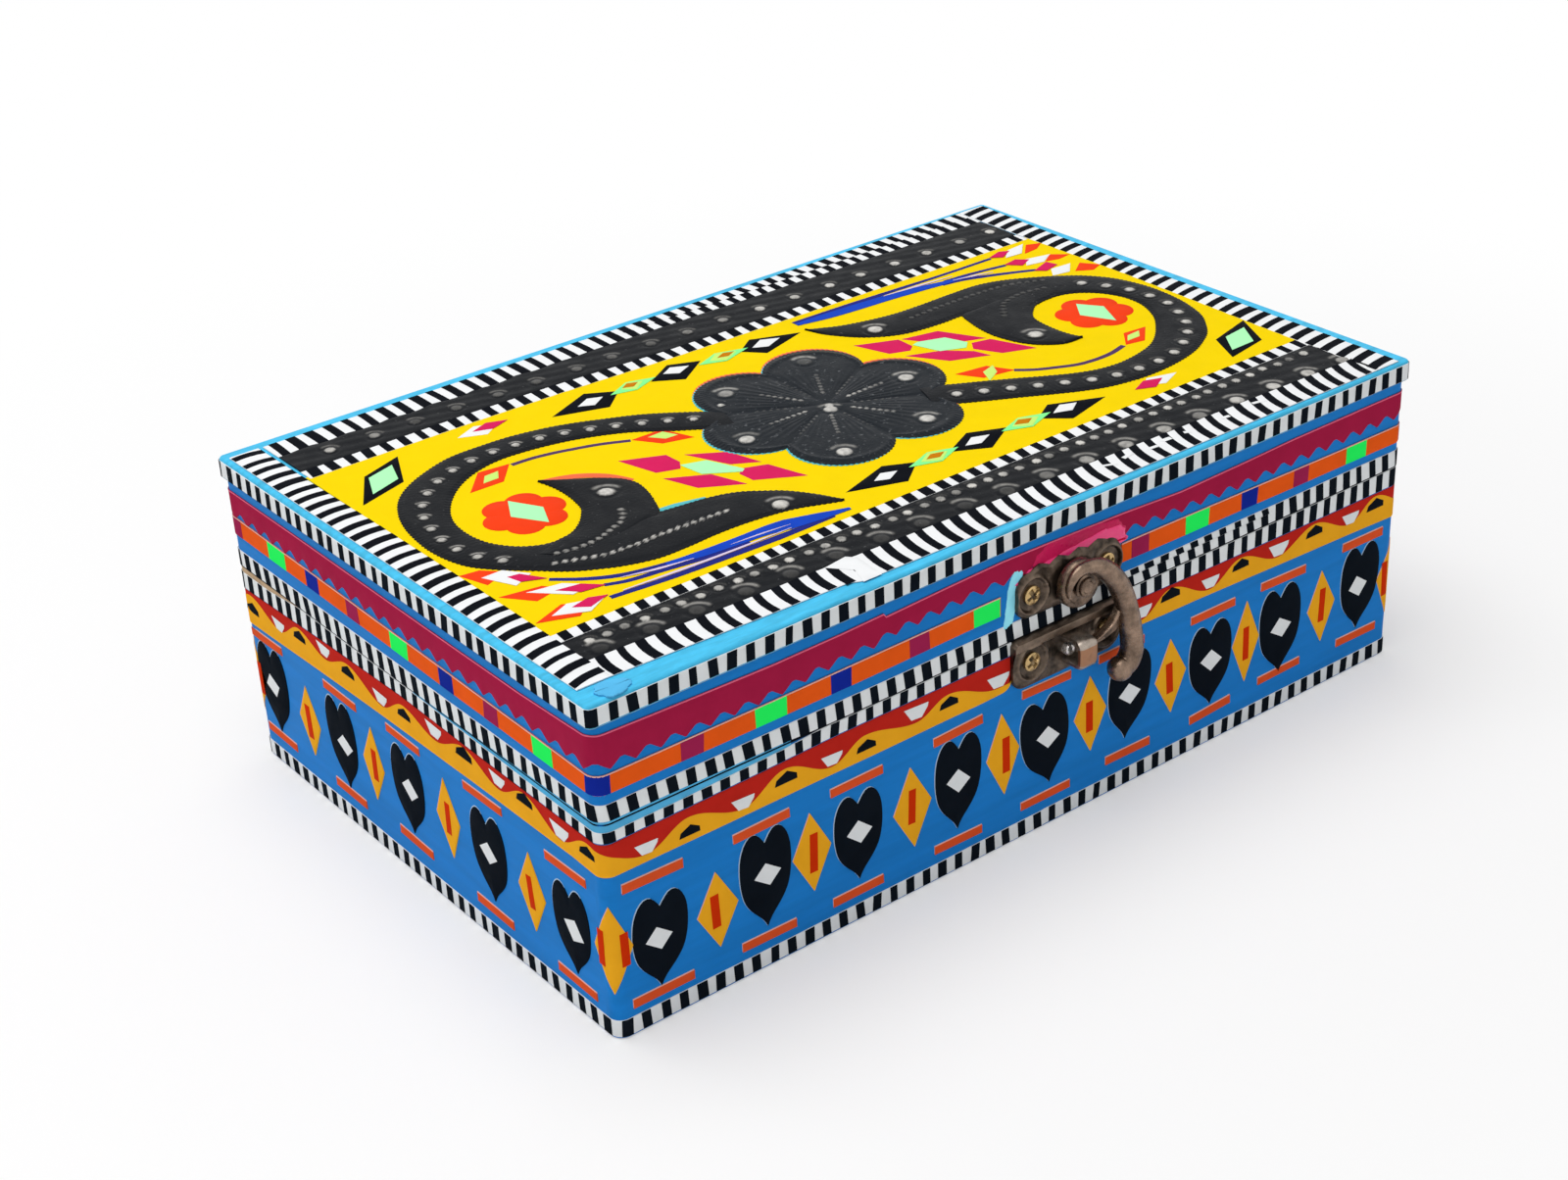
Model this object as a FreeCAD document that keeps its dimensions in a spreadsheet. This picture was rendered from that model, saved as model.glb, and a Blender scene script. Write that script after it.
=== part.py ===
import FreeCAD, Part
import math
import os
import re
from types import SimpleNamespace

import Sketcher

# A painted wooden storage box with a hinged lid, a swinging hook latch and
# stuck-on tapes and cut-outs. X runs along the front, Y from front to back, Z up;
# the origin is the middle of the underside. Lengths are in millimetres, angles in
# degrees.
os.makedirs("parts", exist_ok=True)
doc = FreeCAD.newDocument("storage_box")
vec = FreeCAD.Vector

# Driving dimensions
driving = [
    ("box_length", "250"),
    ("box_width", "160"),
    ("base_height", "55"),
    ("lid_gap", "0.3"),
    ("lid_wall_height", "23.8"),
    ("top_thick", "5.4"),
    ("top_overhang", "0.5"),
    ("wall_thick", "8"),
    ("floor_thick", "4"),
    ("floor_ledge", "3"),
    ("corner_tongue", "4"),
    ("corner_round", "3"),
    ("top_corner_round", "1.5"),
    ("top_edge_round", "0.8"),
    ("hinge_reach", "75"),
    ("hinge_width", "24"),
    ("leaf_height", "12"),
    ("leaf_thick", "1"),
    ("barrel_radius", "2.2"),
    ("pin_radius", "1.1"),
    ("knuckle_gap", "0.15"),
    ("knuckle_clear", "0.3"),
    ("run_clear", "0.05"),
    ("hinge_screw_edge", "5"),
    ("screw_radius", "1.1"),
    ("screw_length", "6.5"),
    ("screw_point", "1.5"),
    ("screw_head_radius", "2.3"),
    ("screw_head_height", "1"),
    ("pilot_clear", "0.05"),
    ("pilot_spare", "0.5"),
    ("latch_shift", "7"),
    ("plate_length", "33"),
    ("plate_thick", "1.2"),
    ("plate_round", "4"),
    ("latch_screw_edge", "4.6"),
    ("lid_plate_height", "11.6"),
    ("scallop_radius", "3.2"),
    ("scallop_sink", "2"),
    ("scallop_pitch", "6.1"),
    ("base_plate_height", "12.8"),
    ("base_plate_drop", "0.6"),
    ("rib_height", "2.2"),
    ("rib_rise", "0.9"),
    ("hook_clear", "0.3"),
    ("eye_radius", "5.4"),
    ("eye_proud", "0.2"),
    ("rivet_radius", "1.6"),
    ("rivet_head_radius", "2.7"),
    ("rivet_head_height", "0.8"),
    ("arm_radius", "2.6"),
    ("arm_tuck", "0.4"),
    ("boss_radius", "4.2"),
    ("arm_bend", "11"),
    ("arm_lead", "1.9"),
    ("arm_drop", "13"),
    ("tail_bend", "4.5"),
    ("tail_sweep", "70"),
    ("ball_radius", "3.3"),
    ("tongue_inner", "15.6"),
    ("tongue_width", "3.8"),
    ("tongue_thick", "1.6"),
    ("tongue_tip_gap", "0.5"),
    ("tongue_root_angle", "40"),
    ("keeper_width", "5.5"),
    ("keeper_play", "0.8"),
    ("keeper_strip", "1.4"),
    ("tape_thick", "0.3"),
    ("window_clear", "1"),
    ("stripe_tape_height", "4.3"),
    ("tape_inset", "0.3"),
    ("wave_tape_height", "8.6"),
    ("block_tape_height", "5"),
    ("block_tape_rise", "2.6"),
    ("zigzag_tape_rise", "1.4"),
    ("zigzag_tape_drop", "2.9"),
    ("heart_end", "13"),
    ("heart_width", "14.6"),
    ("heart_lozenge_width", "7"),
    ("heart_lozenge_height", "6"),
    ("diamond_width", "10.5"),
    ("diamond_inset", "1.25"),
    ("diamond_bar_width", "2.3"),
    ("diamond_bar_height", "9"),
    ("dash_length", "15.5"),
    ("dash_height", "2.3"),
    ("dash_clear", "1.5"),
    ("dash_edge", "2.7"),
    ("motif_gap", "1.2"),
    ("edge_paint_side", "3"),
    ("edge_paint_front", "5"),
    ("border_side", "7.5"),
    ("border_end", "7.5"),
    ("band_width", "12.5"),
    ("strip_width", "5"),
    ("petal_reach", "21.3"),
    ("petal_radius", "12.9"),
    ("flower_heart_radius", "22"),
    ("rosette_radius", "10"),
]

# Sizes that follow from the driving dimensions
derived = [
    ("half_length", "=box_length / 2"),
    ("half_width", "=box_width / 2"),
    ("lid_bottom", "=base_height + lid_gap"),
    ("panel_bottom", "=lid_bottom + lid_wall_height"),
    ("box_height", "=panel_bottom + top_thick"),
    ("panel_half_length", "=half_length + top_overhang"),
    ("panel_half_width", "=half_width + top_overhang"),
    ("hinge_line", "=base_height + lid_gap / 2"),
    ("pin_back", "=half_width + barrel_radius + knuckle_clear"),
    ("knuckle_half", "=hinge_width / 6"),
    ("leaf_shoulder", "=barrel_radius + knuckle_clear"),
    ("pilot_radius", "=screw_radius + pilot_clear"),
    ("latch_pilot", "=screw_length - plate_thick + pilot_spare"),
    ("hinge_pilot", "=screw_length - leaf_thick + pilot_spare"),
    ("hinge_screw_half", "=hinge_width / 2 - hinge_screw_edge"),
    ("hinge_screw_drop", "=(leaf_shoulder + leaf_height) / 2"),
    ("plate_half_length", "=plate_length / 2"),
    ("latch_screw_half", "=plate_half_length - latch_screw_edge"),
    ("lid_plate_half", "=lid_plate_height / 2"),
    ("base_plate_half", "=base_plate_height / 2"),
    ("base_plate_mid", "=base_height - base_plate_drop - base_plate_half"),
    ("pivot_height", "=base_plate_mid + tongue_inner + tongue_width / 2"),
    ("hook_stand", "=plate_thick + screw_head_height + hook_clear + arm_radius"),
    ("eye_thick", "=2 * (arm_radius + eye_proud)"),
    ("arm_rise", "=eye_radius - arm_radius - arm_tuck"),
    ("eye_back", "=hook_stand - eye_thick / 2"),
    ("eye_front", "=hook_stand + eye_thick / 2"),
    ("boss_front", "=eye_back - run_clear"),
    ("keeper_half", "=tongue_width / 2 + keeper_play + keeper_strip"),
    ("keeper_stand", "=hook_stand + tongue_thick / 2 + keeper_play + keeper_strip"),
    ("tape_half_length", "=half_length + tape_thick"),
    ("tape_half_width", "=half_width + tape_thick"),
    ("tape_round", "=corner_round + tape_thick"),
    ("edge_tape_half_length", "=panel_half_length + tape_thick"),
    ("edge_tape_half_width", "=panel_half_width + tape_thick"),
    ("edge_tape_round", "=top_corner_round + tape_thick"),
    ("base_rim_low", "=base_height - tape_inset - stripe_tape_height"),
    ("wave_low", "=base_rim_low - tape_inset - wave_tape_height"),
    ("skirt_low", "=tape_inset"),
    ("lid_rim_low", "=lid_bottom + tape_inset"),
    ("block_low", "=lid_rim_low + stripe_tape_height + block_tape_rise"),
    ("zigzag_low", "=block_low + block_tape_height + zigzag_tape_rise"),
    ("zigzag_tape_height", "=panel_bottom - zigzag_tape_drop - zigzag_low"),
    ("edge_low", "=panel_bottom + tape_inset"),
    ("motif_low", "=skirt_low + stripe_tape_height + dash_edge + dash_height + dash_clear"),
    ("motif_mid", "=(skirt_low + stripe_tape_height + wave_low) / 2"),
    ("heart_height", "=2 * (motif_mid - motif_low)"),
    ("diamond_height", "=heart_height - 2 * diamond_inset"),
    ("heart_pitch", "=heart_width + diamond_width + 2 * motif_gap"),
    ("border_half_length", "=half_length - edge_paint_side"),
    ("sheet_half_length", "=border_half_length - border_side"),
    ("border_back", "=half_width - edge_paint_side"),
    ("border_front", "=-half_width + edge_paint_front"),
    ("band_back_high", "=border_back - border_end"),
    ("band_front_low", "=border_front + border_end"),
    ("sheet_back", "=band_back_high - band_width - strip_width"),
    ("sheet_front", "=band_front_low + band_width + strip_width"),
    ("sheet_top", "=box_height + tape_thick"),
]

sheet = doc.addObject("Spreadsheet::Sheet", "Dims")
for row, (alias, content) in enumerate(driving + derived, start=1):
    sheet.set(f"A{row}", alias)
    sheet.set(f"B{row}", content)
    sheet.setAlias(f"B{row}", alias)
doc.recompute()
aliases = [alias for alias, content in driving + derived]
size = SimpleNamespace(**{alias: float(sheet.get(alias)) for alias in aliases})
pieces = {}


def bind(item, formulas):
    def qualify(hit):
        word = hit.group(0)
        return f"Dims.{word}" if word in aliases else word

    for prop, formula in formulas.items():
        item.setExpression(prop, re.sub(r"[a-z][a-z_]+", qualify, formula))


def place(item, x, y, z):
    bind(item, {"Placement.Base.x": x, "Placement.Base.y": y, "Placement.Base.z": z})


def keep(item):
    pieces[item.Label] = item
    return item


# A block between a low and a high face along each axis
def block(name, span_x, span_y, span_z):
    item = doc.addObject("Part::Box", name)
    for prop, (low, high) in zip(("Length", "Width", "Height"), (span_x, span_y, span_z)):
        bind(item, {prop: f"({high}) - ({low})"})
    place(item, span_x[0], span_y[0], span_z[0])
    return item


# A round bar along X or Y, from a low to a high end
def rod(name, radius, axis, low, high, across, height):
    item = doc.addObject("Part::Cylinder", name)
    if axis == "x":
        item.Placement.Rotation = FreeCAD.Rotation(vec(0, 1, 0), 90)
        place(item, low, across, height)
    else:
        item.Placement.Rotation = FreeCAD.Rotation(vec(1, 0, 0), -90)
        place(item, across, low, height)
    bind(item, {"Radius": radius, "Height": f"({high}) - ({low})"})
    return item


def join(name, items):
    item = doc.addObject("Part::MultiFuse", name)
    item.Shapes = items
    item.Refine = True
    return item


def cut(name, base, tools):
    item = doc.addObject("Part::Cut", name)
    item.Base = base
    item.Tool = tools[0] if len(tools) == 1 else join(name + "_tools", tools)
    item.Refine = True
    return item


def overlap(name, base, tool):
    item = doc.addObject("Part::Common", name)
    item.Base = base
    item.Tool = tool
    item.Refine = True
    return item


# Four sides and four round corners about the sketch's origin
def add_rounded_outline(sketch, half_x, half_y, radius):
    a, b, r = getattr(size, half_x), getattr(size, half_y), getattr(size, radius)
    corners = [(a - r, b - r, 0), (r - a, b - r, 90), (r - a, r - b, 180), (a - r, r - b, 270)]
    sides = [((a, r - b), (a, b - r)), ((a - r, b), (r - a, b)),
             ((-a, b - r), (-a, r - b)), ((r - a, -b), (a - r, -b))]
    first = sketch.GeometryCount
    for (x, y, turn), (start, end) in zip(corners, sides):
        sketch.addGeometry(Part.LineSegment(vec(*start, 0), vec(*end, 0)))
        circle = Part.Circle(vec(x, y, 0), vec(0, 0, 1), r)
        sketch.addGeometry(Part.ArcOfCircle(circle, math.radians(turn), math.radians(turn + 90)))
    for corner in range(4):
        side = first + 2 * corner
        following = first + (2 * corner + 2) % 8
        sketch.addConstraint(Sketcher.Constraint("Tangent", side, 2, side + 1, 1))
        sketch.addConstraint(Sketcher.Constraint("Tangent", side + 1, 2, following, 1))
        upright = "Horizontal" if corner % 2 else "Vertical"
        sketch.addConstraint(Sketcher.Constraint(upright, side))
    for corner in range(1, 4):
        sketch.addConstraint(Sketcher.Constraint("Equal", first + 1, first + 1 + 2 * corner))
    bend = sketch.addConstraint(Sketcher.Constraint("Radius", first + 1, r))
    bind(sketch, {f"Constraints[{bend}]": radius})
    for corner, (reach, alias) in enumerate([(a, half_x), (b, half_y)] * 2):
        gap = sketch.addConstraint(Sketcher.Constraint("Distance", -1, 1, first + 2 * corner, reach))
        bind(sketch, {f"Constraints[{gap}]": alias})


# A pad of one rounded outline, or of the ring between two
def rounded_pad(name, plane, outlines, thickness):
    body = doc.addObject("PartDesign::Body", name)
    sketch = body.newObject("Sketcher::SketchObject", name + "_outline")
    support = [item for item in body.Origin.OriginFeatures if item.Role == plane]
    sketch.AttachmentSupport = [(support[0], "")]
    sketch.MapMode = "FlatFace"
    for half_x, half_y, radius in outlines:
        add_rounded_outline(sketch, half_x, half_y, radius)
    pad = body.newObject("PartDesign::Pad", name + "_pad")
    pad.Profile = sketch
    bind(pad, {"Length": thickness})
    return body


def made(name, shape):
    item = doc.addObject("Part::Feature", name)
    item.Shape = shape
    return keep(item)


# Floor of the base, let into ledges in the four walls
floor_x = "half_length - wall_thick + floor_ledge"
floor_y = "half_width - wall_thick + floor_ledge"
floor = keep(block("base_floor_panel", (f"-({floor_x})", floor_x), (f"-({floor_y})", floor_y),
                   ("0", "floor_thick")))

# Pilot holes for the latch and hinge screws, one list for each wall that takes them
pilots = {"base_front_wall": [], "lid_front_wall": [], "base_back_wall": [], "lid_back_wall": []}
for sign in "+-":
    across = f"latch_shift {sign} latch_screw_half"
    for wall, height in (("base_front_wall", "base_plate_mid"), ("lid_front_wall", "pivot_height")):
        pilots[wall].append(rod(f"{wall}_pilot", "pilot_radius", "y", "-half_width",
                                "-half_width + latch_pilot", across, height))
    for end in "+-":
        across = f"{end}hinge_reach {sign} hinge_screw_half"
        for wall, height in (("base_back_wall", "hinge_line - hinge_screw_drop"),
                             ("lid_back_wall", "hinge_line + hinge_screw_drop")):
            pilots[wall].append(rod(f"{wall}_pilot", "pilot_radius", "y", "half_width - hinge_pilot",
                                    "half_width", across, height))


# Four walls: front and back run full length, thinned to a tongue at each end that
# laps the end of a side wall
def four_walls(level, bottom, top, extra_cuts):
    outline = rounded_pad(f"{level}_outline", "XY_Plane", [("half_length", "half_width", "corner_round")],
                          f"({top}) - ({bottom})")
    place(outline, "0", "0", bottom)
    rise = (bottom, top)
    full_x = ("-half_length", "half_length")
    clear_x = ("-half_length + wall_thick", "half_length - wall_thick")
    side_y = ("-half_width + corner_tongue", "half_width - corner_tongue")
    blanks = {
        "front": [block("tongue", full_x, ("-half_width", "-half_width + corner_tongue"), rise),
                  block("wall", clear_x, ("-half_width", "-half_width + wall_thick"), rise)],
        "back": [block("tongue", full_x, ("half_width - corner_tongue", "half_width"), rise),
                 block("wall", clear_x, ("half_width - wall_thick", "half_width"), rise)],
        "left": [block("wall", ("-half_length", "-half_length + wall_thick"), side_y, rise)],
        "right": [block("wall", ("half_length - wall_thick", "half_length"), side_y, rise)],
    }
    for side, parts in blanks.items():
        name = f"{level}_{side}_wall"
        blank = parts[0] if len(parts) == 1 else join(name + "_blank", parts)
        cuts = extra_cuts + pilots.get(name, [])
        if cuts:
            keep(cut(name, overlap(name + "_round", blank, outline), cuts))
        else:
            keep(overlap(name, blank, outline))


four_walls("base", "0", "base_height", [floor])
four_walls("lid", "lid_bottom", "panel_bottom", [])

# Top panel of the lid, a little proud of the walls, with eased upper edges
panel = rounded_pad("lid_top_panel", "XY_Plane",
                    [("panel_half_length", "panel_half_width", "top_corner_round")], "top_thick")
place(panel, "0", "0", "panel_bottom")
doc.recompute()
upper = max(range(len(panel.Tip.Shape.Faces)), key=lambda n: panel.Tip.Shape.Faces[n].CenterOfMass.z)
easing = panel.newObject("PartDesign::Fillet", "lid_top_panel_easing")
easing.Base = (panel.getObject("lid_top_panel_pad"), [f"Face{upper + 1}"])
bind(easing, {"Radius": "top_edge_round"})
keep(panel)

# Butt hinges: leaves flat on the back wall, three knuckles about a pin at the parting line
leaf_y = ("half_width", "half_width + leaf_thick")
for hand, middle in (("left", "-hinge_reach"), ("right", "hinge_reach")):
    whole_x = (f"{middle} - hinge_width / 2", f"{middle} + hinge_width / 2")
    outer_x = [(f"{middle} - hinge_width / 2", f"{middle} - knuckle_half - knuckle_gap"),
               (f"{middle} + knuckle_half + knuckle_gap", f"{middle} + hinge_width / 2")]
    inner_x = [(f"{middle} - knuckle_half", f"{middle} + knuckle_half")]
    leaves = {
        "base": (outer_x, "pin_radius", ("hinge_line - leaf_height", "hinge_line - leaf_shoulder"),
                 ("hinge_line - leaf_shoulder", "hinge_line"), "hinge_line - hinge_screw_drop"),
        "lid": (inner_x, "pin_radius + run_clear",
                ("hinge_line + leaf_shoulder", "hinge_line + leaf_height"),
                ("hinge_line", "hinge_line + leaf_shoulder"), "hinge_line + hinge_screw_drop"),
    }
    for level, (knuckles, bore, plate_z, tab_z, screw_z) in leaves.items():
        name = f"hinge_{hand}_{level}_leaf"
        solids = [block(name + "_plate", whole_x, leaf_y, plate_z)]
        for low, high in knuckles:
            solids.append(block(name + "_tab", (low, high), leaf_y, tab_z))
            solids.append(rod(name + "_knuckle", "barrel_radius", "x", low, high, "pin_back", "hinge_line"))
        holes = [rod(name + "_bore", bore, "x", *whole_x, "pin_back", "hinge_line")]
        for sign in "+-":
            holes.append(rod(name + "_hole", "pilot_radius", "y", *leaf_y,
                             f"{middle} {sign} hinge_screw_half", screw_z))
        keep(cut(name, join(name + "_solid", solids), holes))
    keep(rod(f"hinge_{hand}_pin", "pin_radius", "x", *whole_x, "pin_back", "hinge_line"))

# Latch plates on the front wall, scalloped above the pivot and ribbed along the rim
lid_plate = rounded_pad("lid_plate_blank", "XZ_Plane",
                        [("plate_half_length", "lid_plate_half", "plate_round")], "plate_thick")
place(lid_plate, "latch_shift", "-half_width", "pivot_height")
plate_y = ("-half_width - plate_thick", "-half_width")
solids = [lid_plate, rod("latch_boss", "boss_radius", "y", "-half_width - boss_front", "-half_width",
                         "latch_shift", "pivot_height")]
scallop_count = 4
for number in range(scallop_count):
    step = number - (scallop_count - 1) / 2
    solids.append(rod("latch_scallop", "scallop_radius", "y", *plate_y,
                      f"latch_shift + {step} * scallop_pitch",
                      "pivot_height + lid_plate_half - scallop_sink"))
holes = [rod("latch_rivet_hole", "rivet_radius", "y", "-half_width - boss_front", "-half_width",
             "latch_shift", "pivot_height")]
for sign in "+-":
    holes.append(rod("lid_plate_hole", "pilot_radius", "y", *plate_y,
                     f"latch_shift {sign} latch_screw_half", "pivot_height"))
keep(cut("latch_lid_plate", join("latch_lid_plate_solid", solids), holes))

base_plate = rounded_pad("base_plate_blank", "XZ_Plane",
                         [("plate_half_length", "base_plate_half", "plate_round")], "plate_thick")
place(base_plate, "latch_shift", "-half_width", "base_plate_mid")
rib = block("base_plate_rib", ("latch_shift - plate_half_length", "latch_shift + plate_half_length"),
            ("-half_width - plate_thick - rib_rise", "-half_width"),
            ("base_plate_mid + base_plate_half - rib_height", "base_plate_mid + base_plate_half"))
holes = [rod("base_plate_hole", "pilot_radius", "y", *plate_y, f"latch_shift {sign} latch_screw_half",
             "base_plate_mid") for sign in "+-"]
keep(cut("latch_base_plate", join("latch_base_plate_solid", [base_plate, rib]), holes))

# Keeper: a stirrup of flat strip that the hook's tongue swings through
keeper_x = ("latch_shift - keeper_width / 2", "latch_shift + keeper_width / 2")
stirrup = block("keeper_outside", keeper_x, ("-half_width - keeper_stand", "-half_width - plate_thick"),
                ("base_plate_mid - keeper_half", "base_plate_mid + keeper_half"))
loop = block("keeper_inside", keeper_x,
             ("-half_width - keeper_stand + keeper_strip", "-half_width - plate_thick"),
             ("base_plate_mid - keeper_half + keeper_strip", "base_plate_mid + keeper_half - keeper_strip"))
keep(cut("latch_keeper", stirrup, [loop]))

# Rivet: shank through plate and hook, head in front of the hook's eye
shank = rod("latch_rivet_shank", "rivet_radius", "y", "-half_width - eye_front - run_clear", "-half_width",
            "latch_shift", "pivot_height")
head = rod("latch_rivet_head", "rivet_head_radius", "y",
           "-half_width - eye_front - run_clear - rivet_head_height", "-half_width - eye_front - run_clear",
           "latch_shift", "pivot_height")
keep(join("latch_rivet", [shank, head]))


# Hook, laid out from its pivot: an eye, a round arm over, straight down and curled in, a
# ball tip, and a flat tongue that is part of a ring about the pivot
def hook_shape():
    toward = vec(0, -1, 0)
    eye = Part.makeCylinder(size.eye_radius, size.eye_thick, vec(0, size.eye_thick / 2, 0), toward)
    bore = Part.makeCylinder(size.rivet_radius + size.run_clear, size.eye_thick,
                             vec(0, size.eye_thick / 2, 0), toward)
    shoulder = vec(size.arm_lead, 0, size.arm_rise - size.arm_bend)
    tail_start = shoulder + vec(size.arm_bend, 0, -size.arm_drop)
    tail_centre = tail_start - vec(size.tail_bend, 0, 0)
    sweep = math.radians(size.tail_sweep)
    tip = tail_centre + vec(math.cos(sweep), 0, -math.sin(sweep)) * size.tail_bend

    # part of a ring of the arm's section, which ends at an angle below +X
    def bend(radius, centre, end_angle, turn):
        piece = Part.makeTorus(radius, size.arm_radius, vec(0, 0, 0), vec(0, 0, 1), 0, 360, turn)
        piece.rotate(vec(0, 0, 0), vec(1, 0, 0), 90)
        piece.rotate(vec(0, 0, 0), vec(0, 1, 0), end_angle)
        piece.translate(centre)
        return piece

    over = bend(size.arm_bend, shoulder, 0, 90)
    drop = Part.makeCylinder(size.arm_radius, size.arm_drop, tail_start, vec(0, 0, 1))
    under = bend(size.tail_bend, tail_centre, size.tail_sweep, size.tail_sweep)
    into_arm = vec(math.sin(sweep), 0, math.cos(sweep))
    ball = Part.makeSphere(size.ball_radius, tip, into_arm)
    inner, outer = size.tongue_inner, size.tongue_inner + size.tongue_width
    half = size.tongue_thick / 2
    tip_angle = math.acos((size.keeper_width / 2 + size.tongue_tip_gap) / inner)
    strip = Part.Face(Part.makePolygon([vec(inner, -half, 0), vec(outer, -half, 0), vec(outer, half, 0),
                                        vec(inner, half, 0), vec(inner, -half, 0)]))
    strip.rotate(vec(0, 0, 0), vec(0, 1, 0), size.tongue_root_angle)
    tongue = strip.revolve(vec(0, 0, 0), vec(0, 1, 0), math.degrees(tip_angle) - size.tongue_root_angle)
    return eye.fuse([over, drop, under, ball, tongue]).cut(bore).removeSplitter()


hook = made("latch_hook", hook_shape())
hook.Placement.Base = vec(size.latch_shift, -size.half_width - size.hook_stand, size.pivot_height)


# One wood screw along Y with its head's underside at the origin, pointing to +Y
def screw_shape():
    body = size.screw_length - size.screw_point
    head = Part.makeCylinder(size.screw_head_radius, size.screw_head_height, vec(0, 0, 0), vec(0, -1, 0))
    shank = Part.makeCylinder(size.screw_radius, body, vec(0, 0, 0), vec(0, 1, 0))
    point = Part.makeCone(size.screw_radius, 0, size.screw_point, vec(0, body, 0), vec(0, 1, 0))
    return head.fuse([shank, point]).removeSplitter()


def screw_set(name, places, turn):
    screws = []
    for x, y, z in places:
        screw = screw_shape()
        screw.rotate(vec(0, 0, 0), vec(0, 0, 1), turn)
        screw.translate(vec(x, y, z))
        screws.append(screw)
    made(name, Part.makeCompound(screws))


latch_x = [size.latch_shift + sign * size.latch_screw_half for sign in (-1, 1)]
plate_front = -size.half_width - size.plate_thick
screw_set("latch_lid_screws", [(x, plate_front, size.pivot_height) for x in latch_x], 0)
screw_set("latch_base_screws", [(x, plate_front, size.base_plate_mid) for x in latch_x], 0)
hinge_x = [end * size.hinge_reach + sign * size.hinge_screw_half for end in (-1, 1) for sign in (-1, 1)]
leaf_back = size.half_width + size.leaf_thick
for level, sign in (("base", -1), ("lid", 1)):
    height = size.hinge_line + sign * size.hinge_screw_drop
    screw_set(f"hinge_{level}_screws", [(x, leaf_back, height) for x in hinge_x], 180)

# Footprints of plates and leaves, where the tapes stop short
windows = []
plate_x = ("latch_shift - plate_half_length - window_clear",
           "latch_shift + plate_half_length + window_clear")
plate_rises = [("pivot_height - lid_plate_half",
                "pivot_height + lid_plate_half + scallop_radius - scallop_sink"),
               ("base_plate_mid - base_plate_half", "base_plate_mid + base_plate_half")]
for low, high in plate_rises:
    windows.append(block("plate_window", plate_x, plate_y,
                         (f"{low} - window_clear", f"{high} + window_clear")))
for end in "-+":
    leaf_x = (f"{end}hinge_reach - hinge_width / 2 - window_clear",
              f"{end}hinge_reach + hinge_width / 2 + window_clear")
    windows.append(block("leaf_window", leaf_x, leaf_y, ("hinge_line - leaf_height - window_clear",
                                                         "hinge_line + leaf_height + window_clear")))

# Tapes round the walls and round the edge of the top panel
wall_ring = [("half_length", "half_width", "corner_round"),
             ("tape_half_length", "tape_half_width", "tape_round")]
edge_ring = [("panel_half_length", "panel_half_width", "top_corner_round"),
             ("edge_tape_half_length", "edge_tape_half_width", "edge_tape_round")]
tapes = [
    ("base_skirt_tape", wall_ring, "skirt_low", "stripe_tape_height"),
    ("base_wave_tape", wall_ring, "wave_low", "wave_tape_height"),
    ("base_rim_tape", wall_ring, "base_rim_low", "stripe_tape_height"),
    ("lid_rim_tape", wall_ring, "lid_rim_low", "stripe_tape_height"),
    ("lid_block_tape", wall_ring, "block_low", "block_tape_height"),
    ("lid_zigzag_tape", wall_ring, "zigzag_low", "zigzag_tape_height"),
    ("lid_edge_tape", edge_ring, "edge_low", "stripe_tape_height"),
]
for name, outlines, low, height in tapes:
    band = rounded_pad(name + "_band", "XY_Plane", outlines, height)
    place(band, "0", "0", low)
    keep(cut(name, band, windows))

# Cut-out motifs on the four base walls: turn about Z, distance of the wall, half its run
sides = [(0, size.half_width, size.half_length), (-90, size.half_length, size.half_width),
         (180, size.half_width, size.half_length), (90, size.half_length, size.half_width)]


# As many hearts along a wall as fit at their pitch, spread evenly between its ends
def spread(half_run):
    run = 2 * (half_run - size.heart_end)
    gaps = int(run / size.heart_pitch)
    return [run * (step / gaps - 0.5) for step in range(gaps + 1)], run / gaps


# A flat cut-out on a wall: outline drawn in front view, laid on at a depth of tapes
def on_wall(outline, side, along, height, layer):
    turn, distance = side[:2]
    solid = Part.Face(outline).extrude(vec(0, -size.tape_thick, 0))
    solid.translate(vec(along, -distance - layer * size.tape_thick, height))
    solid.rotate(vec(0, 0, 0), vec(0, 0, 1), turn)
    return solid


def polygon(points):
    return Part.makePolygon([vec(x, 0, z) for x, z in points + points[:1]])


def lozenge(width, height):
    return polygon([(width / 2, 0), (0, height / 2), (-width / 2, 0), (0, -height / 2)])


def bar(width, height):
    return polygon([(width / 2, height / 2), (-width / 2, height / 2),
                    (-width / 2, -height / 2), (width / 2, -height / 2)])


# A heart, point down: each half is one curve from the dip over the lobe to the tip
def heart():
    flank_poles = [(0, 0.7), (0.16, 0.95), (0.48, 1.05), (0.88, 0.93), (1.05, 0.36), (0.93, -0.26),
                   (0.47, -0.64), (0, -1)]
    edges = []
    for sign in (1, -1):
        line = Part.BSplineCurve()
        line.buildFromPoles([vec(sign * x * size.heart_width / 2, 0, z * size.heart_height / 2)
                             for x, z in flank_poles])
        edges.append(line.toShape())
    return Part.Wire(edges)


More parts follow.
